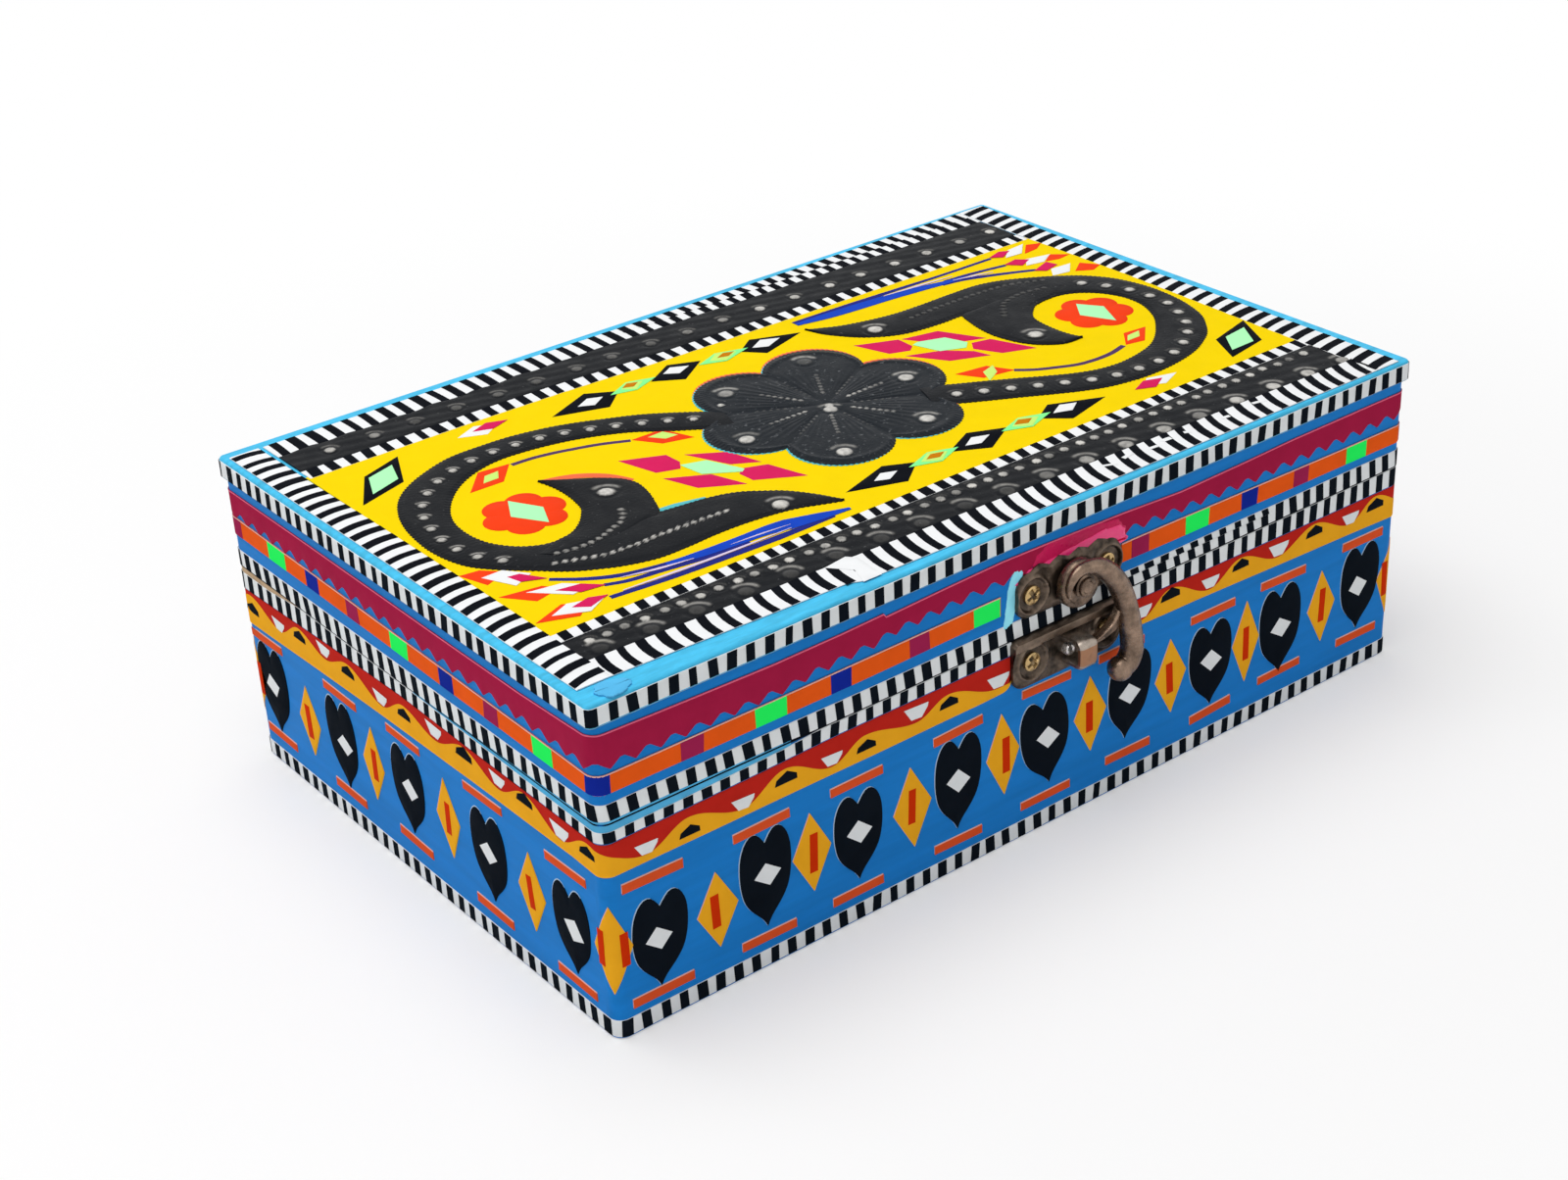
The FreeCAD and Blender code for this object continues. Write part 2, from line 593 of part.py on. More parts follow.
hearts, heart_lozenges, diamonds, diamond_bars, dashes = [], [], [], [], []
dash_reach = size.heart_height / 2 + size.dash_clear + size.dash_height / 2
for side in sides:
    centres, pitch = spread(side[2])
    for along in centres:
        hearts.append(on_wall(heart(), side, along, size.motif_mid, 0))
        heart_lozenges.append(on_wall(lozenge(size.heart_lozenge_width, size.heart_lozenge_height), side,
                                      along, size.motif_mid, 1))
        for level in (-1, 1):
            dashes.append(on_wall(bar(size.dash_length, size.dash_height), side, along,
                                  size.motif_mid + level * dash_reach, 0))
    for along in centres[1:]:
        middle = along - pitch / 2
        diamonds.append(on_wall(lozenge(size.diamond_width, size.diamond_height), side, middle,
                                size.motif_mid, 0))
        diamond_bars.append(on_wall(bar(size.diamond_bar_width, size.diamond_bar_height), side, middle,
                                    size.motif_mid, 1))

# Diamonds folded round the four corners, cut from a ring of the same tape
corner_ring = rounded_pad("corner_diamond_band", "XY_Plane", wall_ring, "diamond_height")
place(corner_ring, "0", "0", "motif_mid - diamond_height / 2")
doc.recompute()
folded_width = size.diamond_width * math.sqrt(0.5)
inset = size.heart_end / math.sqrt(2)
for sign_x in (-1, 1):
    for sign_y in (-1, 1):
        cutter = Part.Face(lozenge(folded_width, size.diamond_height)).extrude(vec(0, -2 * size.heart_end, 0))
        cutter.rotate(vec(0, 0, 0), vec(0, 0, 1), math.degrees(math.atan2(sign_x, -sign_y)))
        cutter.translate(vec(sign_x * (size.half_length - inset), sign_y * (size.half_width - inset),
                             size.motif_mid))
        diamonds += corner_ring.Shape.common(cutter).Solids

motifs = {"base_hearts": hearts, "base_heart_lozenges": heart_lozenges, "base_diamonds": diamonds,
          "base_diamond_bars": diamond_bars, "base_dashes": dashes}
for name, solids in motifs.items():
    made(name, Part.makeCompound(solids))

# Flat tapes on top of the lid: yellow sheet, strips, embossed bands and a border frame
top_z = ("box_height", "sheet_top")
sheet_x = ("-sheet_half_length", "sheet_half_length")
keep(block("lid_top_sheet", sheet_x, ("sheet_front", "sheet_back"), top_z))
keep(block("lid_strip_back", sheet_x, ("sheet_back", "sheet_back + strip_width"), top_z))
keep(block("lid_strip_front", sheet_x, ("sheet_front - strip_width", "sheet_front"), top_z))
keep(block("lid_band_back", sheet_x, ("sheet_back + strip_width", "band_back_high"), top_z))
keep(block("lid_band_front", sheet_x, ("band_front_low", "sheet_front - strip_width"), top_z))
frame_outside = block("border_outside", ("-border_half_length", "border_half_length"),
                      ("border_front", "border_back"), top_z)
frame_inside = block("border_inside", sheet_x, ("band_front_low", "band_back_high"), top_z)
keep(cut("lid_border_tape", frame_outside, [frame_inside]))

# Black cut-outs on the yellow sheet, drawn for a sheet of art_length by art_width
art_length, art_width = 229, 104
art_x = 2 * size.sheet_half_length / art_length
art_y = (size.sheet_back - size.sheet_front) / art_width
art_middle = (size.sheet_back + size.sheet_front) / 2


def art(points):
    return [vec(x * art_x, art_middle + y * art_y, size.sheet_top) for x, y in points]


def curve(points):
    line = Part.BSplineCurve()
    line.interpolate(art(points))
    return line.toShape()


def disc(radius, reach, turn):
    centre = vec(reach * math.cos(turn), art_middle + reach * math.sin(turn), size.sheet_top)
    return Part.makeCylinder(radius, size.tape_thick, centre)


petal_count = 6
petals = [disc(size.petal_radius, size.petal_reach, 2 * math.pi * step / petal_count)
          for step in range(petal_count)]
flower = disc(size.flower_heart_radius, 0, 0).fuse(petals).removeSplitter()
made("lid_flower", flower)

# A paisley: ribbon round the loop, leaf-shaped tail, and a horn that curls inward
outer_edge = [(-25, 20), (-45, 33), (-72, 40.5), (-100, 32), (-113, 2), (-104, -22), (-78, -37.5),
              (-50, -37.5), (-29, -43.5)]
tail_edge = [(-29, -43.5), (-37, -30), (-50, -22), (-64, -19.5)]
horn_edge = [(-64, -19.5), (-59, -5), (-64, 8), (-75.5, 12.5)]
inner_edge = [(-75.5, 12.5), (-75, -4), (-89, -14.8), (-102, 2), (-92, 23), (-72, 29.8), (-50, 25), (-29, 10)]
rim = Part.Wire([curve(outer_edge), curve(tail_edge), curve(horn_edge), curve(inner_edge),
                 Part.makePolygon(art([inner_edge[-1], outer_edge[0]])).Edges[0]])
paisley = Part.Face(rim).extrude(vec(0, 0, size.tape_thick)).cut(flower)
half_turn = paisley.copy()
half_turn.rotate(vec(0, art_middle, 0), vec(0, 0, 1), 180)
made("lid_paisley_left", paisley)
made("lid_paisley_right", half_turn)

# Red rosettes in the eyes of the two loops
loop_eyes = [(-87, 0), (87, 0)]
rosettes = [Part.makeCylinder(size.rosette_radius, size.tape_thick, centre)
            for centre in art(loop_eyes)]
made("lid_rosettes", Part.makeCompound(rosettes))

doc.recompute()
faults = [item.Name for item in doc.Objects if {"Invalid", "Error"} & set(item.State)]
for label, item in pieces.items():
    if item.Shape.isNull() or not item.Shape.isValid() or not item.Shape.Solids:
        faults.append(label)
if faults:
    raise RuntimeError(f"not built: {faults}")
for label, item in pieces.items():
    item.Shape.exportStep(f"parts/{label}.step")
    box = item.Shape.BoundBox
    print(f"{label}: {len(item.Shape.Solids)} solids, {item.Shape.Volume:.1f} mm3,",
          f"x {box.XMin:.2f} {box.XMax:.2f} y {box.YMin:.2f} {box.YMax:.2f} z {box.ZMin:.2f} {box.ZMax:.2f}")
print(len(pieces), "pieces")
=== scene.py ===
import math
from functools import partial

import bmesh
import bpy
import numpy as np
from mathutils import Matrix, Vector


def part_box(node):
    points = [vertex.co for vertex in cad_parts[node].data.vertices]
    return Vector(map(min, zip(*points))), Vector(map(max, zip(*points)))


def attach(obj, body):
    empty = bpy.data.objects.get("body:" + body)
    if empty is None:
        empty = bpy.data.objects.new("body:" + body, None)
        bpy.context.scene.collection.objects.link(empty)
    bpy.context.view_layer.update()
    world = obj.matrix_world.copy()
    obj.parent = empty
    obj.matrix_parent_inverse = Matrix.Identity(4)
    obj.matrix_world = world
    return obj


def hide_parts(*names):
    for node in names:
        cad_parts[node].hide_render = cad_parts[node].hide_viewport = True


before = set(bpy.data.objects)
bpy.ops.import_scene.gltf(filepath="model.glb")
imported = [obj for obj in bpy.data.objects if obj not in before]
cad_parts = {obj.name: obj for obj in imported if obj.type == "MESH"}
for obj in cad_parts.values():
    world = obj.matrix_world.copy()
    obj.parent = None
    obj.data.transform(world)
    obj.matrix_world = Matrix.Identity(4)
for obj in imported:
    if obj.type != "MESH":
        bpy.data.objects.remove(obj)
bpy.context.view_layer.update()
mm = 0.001   # lengths below are millimetres until a mesh is filled
dice = np.random.default_rng(7)
scene = bpy.context.scene
print("frame loaded:", len(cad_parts), "nodes")


def nodeBox(node):
    return [np.array(end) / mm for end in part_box(node)]


wallLow, wallHigh = nodeBox("base_front_wall")
panelLow, panelHigh = nodeBox("lid_top_panel")
wallRing = dict(halfX=wallHigh[0], halfY=-wallLow[1], bend=3.0)
panelRing = dict(halfX=panelHigh[0], halfY=panelHigh[1], bend=1.5)
topZ = panelHigh[2]
baseTop = wallHigh[2]
lidBottom = nodeBox("lid_front_wall")[0][2]
sheetLift = nodeBox("lid_top_sheet")[1][2] - topZ


# A point on the walls: s runs along a rounded rectangle from the middle of the front to the right and
# round the box, h stands out from it.
def onWall(ring, s, z, h):
    s, z, h = np.broadcast_arrays(*(np.asarray(v, float) for v in (s, z, h)))
    flatX, flatY, bend = ring["halfX"] - ring["bend"], ring["halfY"] - ring["bend"], ring["bend"]
    starts = np.cumsum([0] + [2 * flatX, bend * math.pi / 2, 2 * flatY, bend * math.pi / 2] * 2)
    walked = np.mod(s + flatX, starts[-1])
    leg = np.clip(np.searchsorted(starts, walked, side="right") - 1, 0, 7)
    local = walked - starts[leg]
    side, onCorner = leg // 2, leg % 2 == 1
    turn = side * math.pi / 2 + np.where(onCorner, local / bend, 0)
    middles = np.array([[flatX, -flatY], [flatX, flatY], [-flatX, flatY], [-flatX, -flatY]])
    anchor = np.where(onCorner[..., None], middles[side], np.roll(middles, 1, 0)[side])
    along = np.where(onCorner, 0, local)
    x = anchor[..., 0] + along * np.cos(turn) + (bend + h) * np.sin(turn)
    y = anchor[..., 1] + along * np.sin(turn) - (bend + h) * np.cos(turn)
    return np.stack([x, y, z], -1)


def girth(ring):
    return 4 * (ring["halfX"] + ring["halfY"] - 2 * ring["bend"]) + 2 * math.pi * ring["bend"]


# places on the side walls and the back, as lengths along the ring
sideStart = wallRing["halfX"] - wallRing["bend"] + wallRing["bend"] * math.pi / 2


def atRight(y):
    return sideStart + np.asarray(y) + wallRing["halfY"] - wallRing["bend"]


def atLeft(y):
    return -atRight(y)


def atBack(x):
    return 2 * sideStart + 2 * (wallRing["halfY"] - wallRing["bend"]) - np.asarray(x)


# ways to lay a flat place with a height on the box
wall, rimWall = partial(onWall, wallRing), partial(onWall, panelRing)


def topLay(x, y, h):
    return np.stack(np.broadcast_arrays(x, y, topZ + h), -1)


def topLayTurned(y, x, h):
    return topLay(x, y, h)


def frontLay(x, z, d):
    return np.stack(np.broadcast_arrays(x, wallLow[1] - d, z), -1)


# small helpers

def paired(a, b):
    return np.stack([a, b], -1)


def circle(steps):
    return np.arange(steps) * 2 * math.pi / steps


def smoothStep(low, high, value):
    u = np.clip((value - low) / (high - low), 0, 1)
    return u * u * (3 - 2 * u)


def chordLength(path):
    return np.concatenate([[0], np.cumsum(np.linalg.norm(np.diff(path, axis=0), axis=1))])


# slow hand-made drift of an edge: three sines of unlike length
def drift(s, size, seed):
    waves = np.sin(s / 37 + seed) + 0.6 * np.sin(s / 17 + 2.3 * seed) + 0.35 * np.sin(s / 7.1 + 4.1 * seed)
    return size * waves


# meshes from grids

# A block is one grid of places or several: columns wrap round, rows only in a ring. number picks the
# material; the last field is wear and, on the pressed films and the hook, painted highlight.
def block(points, number=0, worn=0.0, ring=False):
    return np.asarray(points, float), number, worn, ring


# One object from blocks. A row that shrinks to one place becomes a pole when doubles are merged, and a
# grid whose volume comes out negative has its faces turned.
def gridPiece(name, blocks, materials, body, replaces=(), sharp=40):
    coords, faces, slots, wearHighlightParts = [], [], [], []
    count = 0
    for points, number, worn, ring in blocks:
        grid = points.reshape((-1,) + points.shape[-3:])
        flat = grid.reshape(-1, 3)
        index = np.arange(len(flat)).reshape(grid.shape[:3])
        if ring:
            index = np.concatenate([index, index[:, :1]], 1)
        index = np.concatenate([index, index[:, :, :1]], 2)
        quads = np.stack([index[:, :-1, :-1], index[:, 1:, :-1], index[:, 1:, 1:], index[:, :-1, 1:]], -1)
        quads = quads.reshape(len(grid), -1, 4)
        corners = flat[quads] - grid.mean((1, 2))[:, None, None]
        facing = np.cross(corners[:, :, 2] - corners[:, :, 0], corners[:, :, 3] - corners[:, :, 1])
        volume = (corners.mean(2) * facing).sum((1, 2))
        quads = np.where(volume[:, None, None] < 0, quads[..., ::-1], quads).reshape(-1, 4)
        coords.append(flat)
        faces.append(quads + count)
        slots.append(np.full(len(quads), number, np.int32))
        wearHighlightParts.append(np.broadcast_to(worn, grid.shape[:3]).ravel())
        count += len(flat)
    mesh = bpy.data.meshes.new(name)
    mesh.from_pydata(np.concatenate(coords) * mm, [], np.concatenate(faces))
    mesh.polygons.foreach_set("material_index", np.concatenate(slots))
    wornField = mesh.attributes.new("worn", "FLOAT", "POINT").data
    wornField.foreach_set("value", np.concatenate(wearHighlightParts).astype(np.float32))
    work = bmesh.new()
    work.from_mesh(mesh)
    bmesh.ops.remove_doubles(work, verts=work.verts, dist=1e-7)
    work.to_mesh(mesh)
    work.free()
    mesh.polygons.foreach_set("use_smooth", np.ones(len(mesh.polygons), bool))
    mesh.set_sharp_from_angle(angle=math.radians(sharp))
    for material in materials:
        mesh.materials.append(finish[material])
    piece = bpy.data.objects.new(name, mesh)
    scene.collection.objects.link(piece)
    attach(piece, body)
    if replaces:
        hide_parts(*replaces)


# both ends of an open run drawn together to a point in their middle
def closeEnds(points):
    ends = [points[..., :1, :, :], points[..., -1:, :, :]]
    first, last = (np.broadcast_to(end.mean(-2, keepdims=True), end.shape) for end in ends)
    return np.concatenate([first, points, last], -3)


# A tape between a low and a high edge along its run. Each point of its section is (share of the way up,
# step in from that edge, share of the thickness).
tapeSection = np.array([(0, 0, 0), (0, 0, 0.5), (0, 0.1, 0.85), (0, 0.3, 1), (0.5, 0, 1), (1, -0.3, 1),
                        (1, -0.1, 0.85), (1, 0, 0.5), (1, 0, 0), (0.5, 0, 0)])


def tapeRun(lay, s, low, high, thick, foot=0.0, number=0, ring=False):
    share, inset, rise = tapeSection.T
    low, high = (np.broadcast_to(edge, s.shape)[:, None] for edge in (low, high))
    points = lay(s[:, None], low * (1 - share) + high * share + inset, foot + rise * thick)
    return block(points if ring else closeEnds(points), number, ring=ring)


# Flat cut-outs: each outline is a closed row of places, laid as a bottom, an upright edge, an eased rim
# and a top that shrinks evenly to its middle.
def cutouts(outlines, lay, thick, foot=0.0, ease=0.12, inner=(0.55,), number=0):
    outlines = np.asarray(outlines, float)
    middle = outlines.mean(-2, keepdims=True) + 0 * outlines
    ahead = np.roll(outlines, -1, -2)
    run = ahead - np.roll(outlines, 1, -2)
    normal = paired(run[..., 1], -run[..., 0])
    normal /= np.maximum(np.linalg.norm(normal, axis=-1, keepdims=True), 1e-9)
    area = (outlines[..., 0] * ahead[..., 1] - outlines[..., 1] * ahead[..., 0]).sum(-1)
    rim = outlines - normal * np.where(area > 0, ease, -ease)[..., None, None]
    top = [middle + (rim - middle) * share for share in inner]
    flat = np.stack([middle, outlines, outlines, rim, *top, middle], -3)
    height = foot + thick * np.array([0, 0, 0.6] + [1] * (len(inner) + 2))
    return block(lay(flat[..., 0], flat[..., 1], np.broadcast_to(height[:, None], flat.shape[:-1])), number)


# straight sides between corners, each cut into equal steps
def sides(corners, steps=2):
    corners = np.asarray(corners, float)
    ahead = np.roll(corners, -1, -2)
    share = np.arange(steps)[:, None] / steps
    points = corners[..., :, None, :] * (1 - share) + ahead[..., :, None, :] * share
    return points.reshape(corners.shape[:-2] + (-1, 2))


# a smooth line through points: cubic pieces over the chord length, tangents from the neighbours
def throughPoints(points, count):
    points = np.asarray(points, float)
    chord = chordLength(points)
    tangent = np.gradient(points, chord, axis=0)
    t = np.linspace(0, chord[-1], count)
    leg = np.clip(np.searchsorted(chord, t, side="right") - 1, 0, len(points) - 2)
    span = (chord[leg + 1] - chord[leg])[:, None]
    u = (t - chord[leg])[:, None] / span
    ends = points[leg] * (2 * u**3 - 3 * u**2 + 1) + points[leg + 1] * (3 * u**2 - 2 * u**3)
    return ends + (tangent[leg] * (u**3 - 2 * u**2 + u) + tangent[leg + 1] * (u**3 - u**2)) * span


# A sheet between two edges given point by point: its top follows a height field, the first and last
# column drop to the foot, and the bottom closes it.
def sheetGrid(edgeA, edgeB, across, lay, field, foot=0.0, number=0):
    share = np.linspace(0, 1, across)[:, None]
    flat = edgeA[:, None] * (1 - share) + edgeB[:, None] * share
    height, worn = field(flat, np.broadcast_to(share[:, 0], flat.shape[:2]))
    flat = np.concatenate([flat[:, :1], flat, flat[:, -1:]], 1)
    points = lay(flat[..., 0], flat[..., 1], foot + np.pad(height, ((0, 0), (1, 1))))
    return block(closeEnds(points), number, np.pad(worn, 1))


# flat top with eased edges
def flatField(thick):
    return lambda flat, share: (thick * (1 - 0.35 * np.abs(2 * share - 1) ** 10), np.zeros(flat.shape[:2]))


# edges of a ribbon from stations of two points, with small teeth along both
def ribbonEdges(stations, step, tooth, pitch=1.3):
    stations = np.array(stations, float)
    edges = throughPoints(stations, int(chordLength(stations[:, :2])[-1] / step))
    edgeA, edgeB = edges[:, :2], edges[:, 2:]
    span = edgeA - edgeB
    span /= np.maximum(np.linalg.norm(span, axis=1, keepdims=True), 1e-6)
    saw = [tooth * (np.abs(np.mod(chordLength(edge) / pitch, 1) - 0.5) * 2 - 0.5) for edge in (edgeA, edgeB)]
    return edgeA + span * saw[0][:, None], edgeB - span * saw[1][:, None]


# edges of a line of changing width
def strokeEdges(line, width, count):
    path = throughPoints(line, count)
    run = np.gradient(path, axis=0)
    normal = paired(-run[:, 1], run[:, 0]) / np.linalg.norm(run, axis=1, keepdims=True)
    half = np.interp(np.linspace(0, 1, count), np.linspace(0, 1, len(width)), width)[:, None] / 2
    return path + normal * half, path - normal * half


# Pressed dots: each is (x, y, radius, rise, paleness of its crown, paleness of its arc). A dome with a
# shallow moat; its pale crown is rubbed wear and painted highlight, its arc a painted highlight on the
# moat's far rim on the side that faces back and right.
def pressedDots(flat, dots):
    away = flat[..., None, :] - dots[:, :2]
    reach = np.linalg.norm(away, axis=-1) / dots[:, 2]
    dome = dots[:, 3] * (np.maximum(0, 1 - reach**2) - 0.35 * np.exp(-((reach - 1.45) / 0.3) ** 2))
    # pale crowns are rubbed wear and painted highlight; pale arcs are painted highlight
    crown = dots[:, 4] * smoothStep(1.0, 0.75, reach)
    bearing = np.abs(np.arctan2(away[..., 1], away[..., 0]) - 1.0)
    rim = dots[:, 5] * np.exp(-((reach - 1.75) / 0.2) ** 2) * smoothStep(1.15, 0.75, bearing)
    return dome.sum(-1), np.maximum(crown, rim).max(-1)


# a turned shape about an axis that points out of the front: rows of (radius, depth) swung round
def turned(profile, centre, steps=40, **settings):
    radius, depth = np.asarray(profile, float).T[:, :, None]
    angle = circle(steps)
    x, z = centre[0] + radius * np.cos(angle), centre[1] + radius * np.sin(angle)
    return block(frontLay(x, z, depth + 0 * angle), **settings)


# finishes

def startMaterial(name):
    material = bpy.data.materials.new(name)
    material.use_nodes = True
    tree = material.node_tree
    tree.nodes.clear()
    out, shader = (tree.nodes.new("ShaderNode" + kind) for kind in ("OutputMaterial", "BsdfPrincipled"))
    tree.links.new(shader.outputs[0], out.inputs[0])
    return material, tree, shader


# each socket gets a value or a link
def feed(tree, node, values):
    for socket, value in values.items():
        if isinstance(value, bpy.types.NodeSocket):
            tree.links.new(value, node.inputs[socket])
        else:
            node.inputs[socket].default_value = value


def addNode(tree, kind, values=None, **settings):
    node = tree.nodes.new("ShaderNode" + kind)
    for key, value in settings.items():
        setattr(node, key, value)
    feed(tree, node, values or {})
    return node


def compute(tree, operation, *values, clamp=False):
    return addNode(tree, "Math", dict(enumerate(values)), operation=operation, use_clamp=clamp).outputs[0]


def shade(colour, share):
    return tuple(min(1.0, c * share) for c in colour)


def objectPlace(tree, scale=(1, 1, 1)):
    place = addNode(tree, "TexCoord").outputs["Object"]
    return addNode(tree, "Mapping", {"Vector": place, "Scale": scale}).outputs[0]


def noise(tree, scale, detail=3.0, stretch=(1, 1, 1), rough=0.55):
    values = {"Vector": objectPlace(tree, stretch), "Scale": scale, "Detail": detail, "Roughness": rough}
    return addNode(tree, "TexNoise", values).outputs["Fac"]


def ramp(tree, fac, low, high, fromValue=0.0, toValue=1.0, **settings):
    values = {"Value": fac, "From Min": low, "From Max": high, "To Min": fromValue, "To Max": toValue}
    return addNode(tree, "MapRange", values, **settings).outputs[0]


def mixColour(tree, fac, first, second):
    first, second = ((*colour, 1.0) if isinstance(colour, tuple) else colour for colour in (first, second))
    return addNode(tree, "Mix", {0: fac, 6: first, 7: second}, data_type="RGBA").outputs[2]


def graded(tree, fac, dark, light):
    return mixColour(tree, ramp(tree, fac, 0.3, 0.7), dark, light)


def bump(tree, height, strength, distance=0.0002):
    return addNode(tree, "Bump", {"Height": height, "Strength": strength, "Distance": distance}).outputs[0]


# vinyl film: even colour with faint blotches, fine orange peel, uneven gloss; bright film and paint glow a
# little, which is painted light
def vinyl(name, colour, gloss=0.45, shine=0.02, blotch=0.12, peel=0.15, glow=0.0):
    material, tree, shader = startMaterial(name)
    darker, lighter = shade(colour, 1 - blotch), shade(colour, 1 + blotch)
    feed(tree, shader, {"Base Color": mixColour(tree, noise(tree, 140, 4), darker, lighter),
                        "Roughness": ramp(tree, noise(tree, 260, 3), 0.3, 0.7, gloss - 0.08, gloss + 0.1),
                        "Normal": bump(tree, noise(tree, 900, 3), peel), "Specular IOR Level": shine,
                        "IOR": 1.2 if shine < 0.1 else 1.45})   # matte film has little sheen at a slant
    # the glow is painted light: the film is no lamp
    if glow:
        feed(tree, shader, {"Emission Color": (*colour, 1.0), "Emission Strength": glow})
    return material


films = {   # material, colour, then gloss, shine, blotch, peel and glow where they are special
    "wallWhite": ("wallWhiteFilm", (0.84, 0.87, 0.88), 0.45, 0.03, 0.06),
    "wallBlack": ("wallBlackFilm", (0.006, 0.009, 0.014), 0.5, 0.015, 0.3),
    "crimson": ("crimsonFilm", (0.40, 0.014, 0.062)),
    "orange": ("orangeFilm", (0.92, 0.115, 0.011)),
    "purple": ("purpleFilm", (0.37, 0.019, 0.085)),
    "green": ("greenFilm", (0.02, 0.95, 0.12), 0.45, 0.02, 0.04, 0.15, 0.08),
    "navy": ("navyFilm", (0.008, 0.024, 0.32)),
    "red": ("redFilm", (0.555, 0.022, 0.014)),
    "amber": ("amberFilm", (0.96, 0.43, 0.018)),
    "ember": ("emberFilm", (0.66, 0.034, 0.003)),
    "dash": ("dashFilm", (0.76, 0.095, 0.025)),
    "topWhite": ("topWhiteFilm", (0.86, 0.87, 0.88), 0.4, 0.06, 0.05),
    "topBlack": ("topBlackFilm", (0.005, 0.006, 0.009), 0.42, 0.02, 0.4),
    "yellow": ("yellowFilm", (0.92, 0.66, 0.003), 0.42, 0.02, 0.05),
    "pink": ("pinkLine", (0.80, 0.14, 0.25), 0.45, 0.03),
    # pale edge films beside the cut-outs and along the block tape are painted highlights
    "peachHighlight": ("peachEdgeHighlight", (0.85, 0.50, 0.42), 0.45, 0.03),
    "paleEdgeHighlight": ("paleHeartEdgeHighlight", (0.45, 0.60, 0.75), 0.45, 0.03),
    "salmon": ("salmonFilm", (0.86, 0.16, 0.07), 0.45, 0.04),
    "cyan": ("cyanFilm", (0.10, 0.50, 0.56), 0.45, 0.04),
    "scarlet": ("scarletFilm", (0.90, 0.056, 0.012), 0.42, 0.03, 0.06),
    "mint": ("mintFilm", (0.42, 0.95, 0.48), 0.42, 0.03, 0.04, 0.15, 0.05),
    "rose": ("roseFilm", (0.67, 0.017, 0.113), 0.42, 0.03, 0.08),
    "lime": ("limeFilm", (0.24, 0.92, 0.30), 0.42, 0.03, 0.04, 0.15, 0.05),
    "pistachio": ("pistachioFilm", (0.60, 0.88, 0.20), 0.42, 0.03, 0.04),
    "tan": ("tanFilm", (0.59, 0.20, 0.004), 0.42, 0.03, 0.08),
    "sheaf": ("sheafFilm", (0.020, 0.026, 0.22), 0.4, 0.03, 0.15),
    "royal": ("royalBlueFilm", (0.012, 0.065, 0.52), 0.4, 0.03, 0.2),
    "plum": ("plumLine", (0.085, 0.042, 0.13), 0.4, 0.03, 0.15),
    "lavender": ("lavenderLine", (0.72, 0.60, 0.78), 0.4, 0.03),
    "pinkPaint": ("pinkTouchUpPaint", (0.93, 0.035, 0.21), 0.14, 0.5, 0.12, 0.6, 0.08),
    "pinkSmear": ("pinkSmearedPaint", (0.64, 0.012, 0.10), 0.25, 0.1, 0.2, 0.8),
    "skyRim": ("skyRimPaint", (0.10, 0.47, 0.84), 0.45, 0.05, 0.3),
    "skyDaub": ("skyTouchUpPaint", (0.25, 0.70, 0.97), 0.25, 0.3, 0.35, 0.8, 0.15),
}
finish = {key: vinyl(*settings) for key, settings in films.items()}


# pressed black film: black with sparse scuffs that are partly painted glints, and pale where the mesh says
# so: rubbed wear and painted highlight
def pressedFilm(name, black, scuffAndGlintColour, scuffAndGlintFrom, shine):
    material, tree, shader = startMaterial(name)
    worn = addNode(tree, "Attribute", attribute_name="worn").outputs["Fac"]
    # grey flecks: scuffs and painted glints
    scuffAndGlint = ramp(tree, noise(tree, 800, 5, rough=0.65), scuffAndGlintFrom, scuffAndGlintFrom + 0.14)
    ground = mixColour(tree, scuffAndGlint, black, scuffAndGlintColour)
    # paleness from the mesh: rubbed wear, and the pressed dots' painted highlights
    rubbedAndLit = compute(tree, "MULTIPLY", worn, ramp(tree, noise(tree, 700, 3), 0.3, 0.6, 0.6), clamp=True)
    feed(tree, shader, {"Base Color": mixColour(tree, rubbedAndLit, ground, (0.66, 0.64, 0.60)),
                        "Roughness": ramp(tree, noise(tree, 200, 4), 0.3, 0.7, 0.30, 0.5),
                        "Normal": bump(tree, noise(tree, 1100, 4), 0.35), "Specular IOR Level": shine})
    return material


finish |= {
    "pressedBlack": pressedFilm("pressedBlackFilm", (0.006, 0.007, 0.009), (0.13, 0.13, 0.135), 0.64, 0.04),
    "flowerBlack": pressedFilm("pressedFlowerFilm", (0.009, 0.012, 0.016), (0.17, 0.18, 0.19), 0.60, 0.05),
}

wallPaint, skyPaint = (0.013, 0.235, 0.70), (0.075, 0.57, 0.90)
woodDark, woodLight = (0.36, 0.21, 0.10), (0.62, 0.43, 0.24)
alongX, alongY = (1, 12, 12), (12, 1, 12)
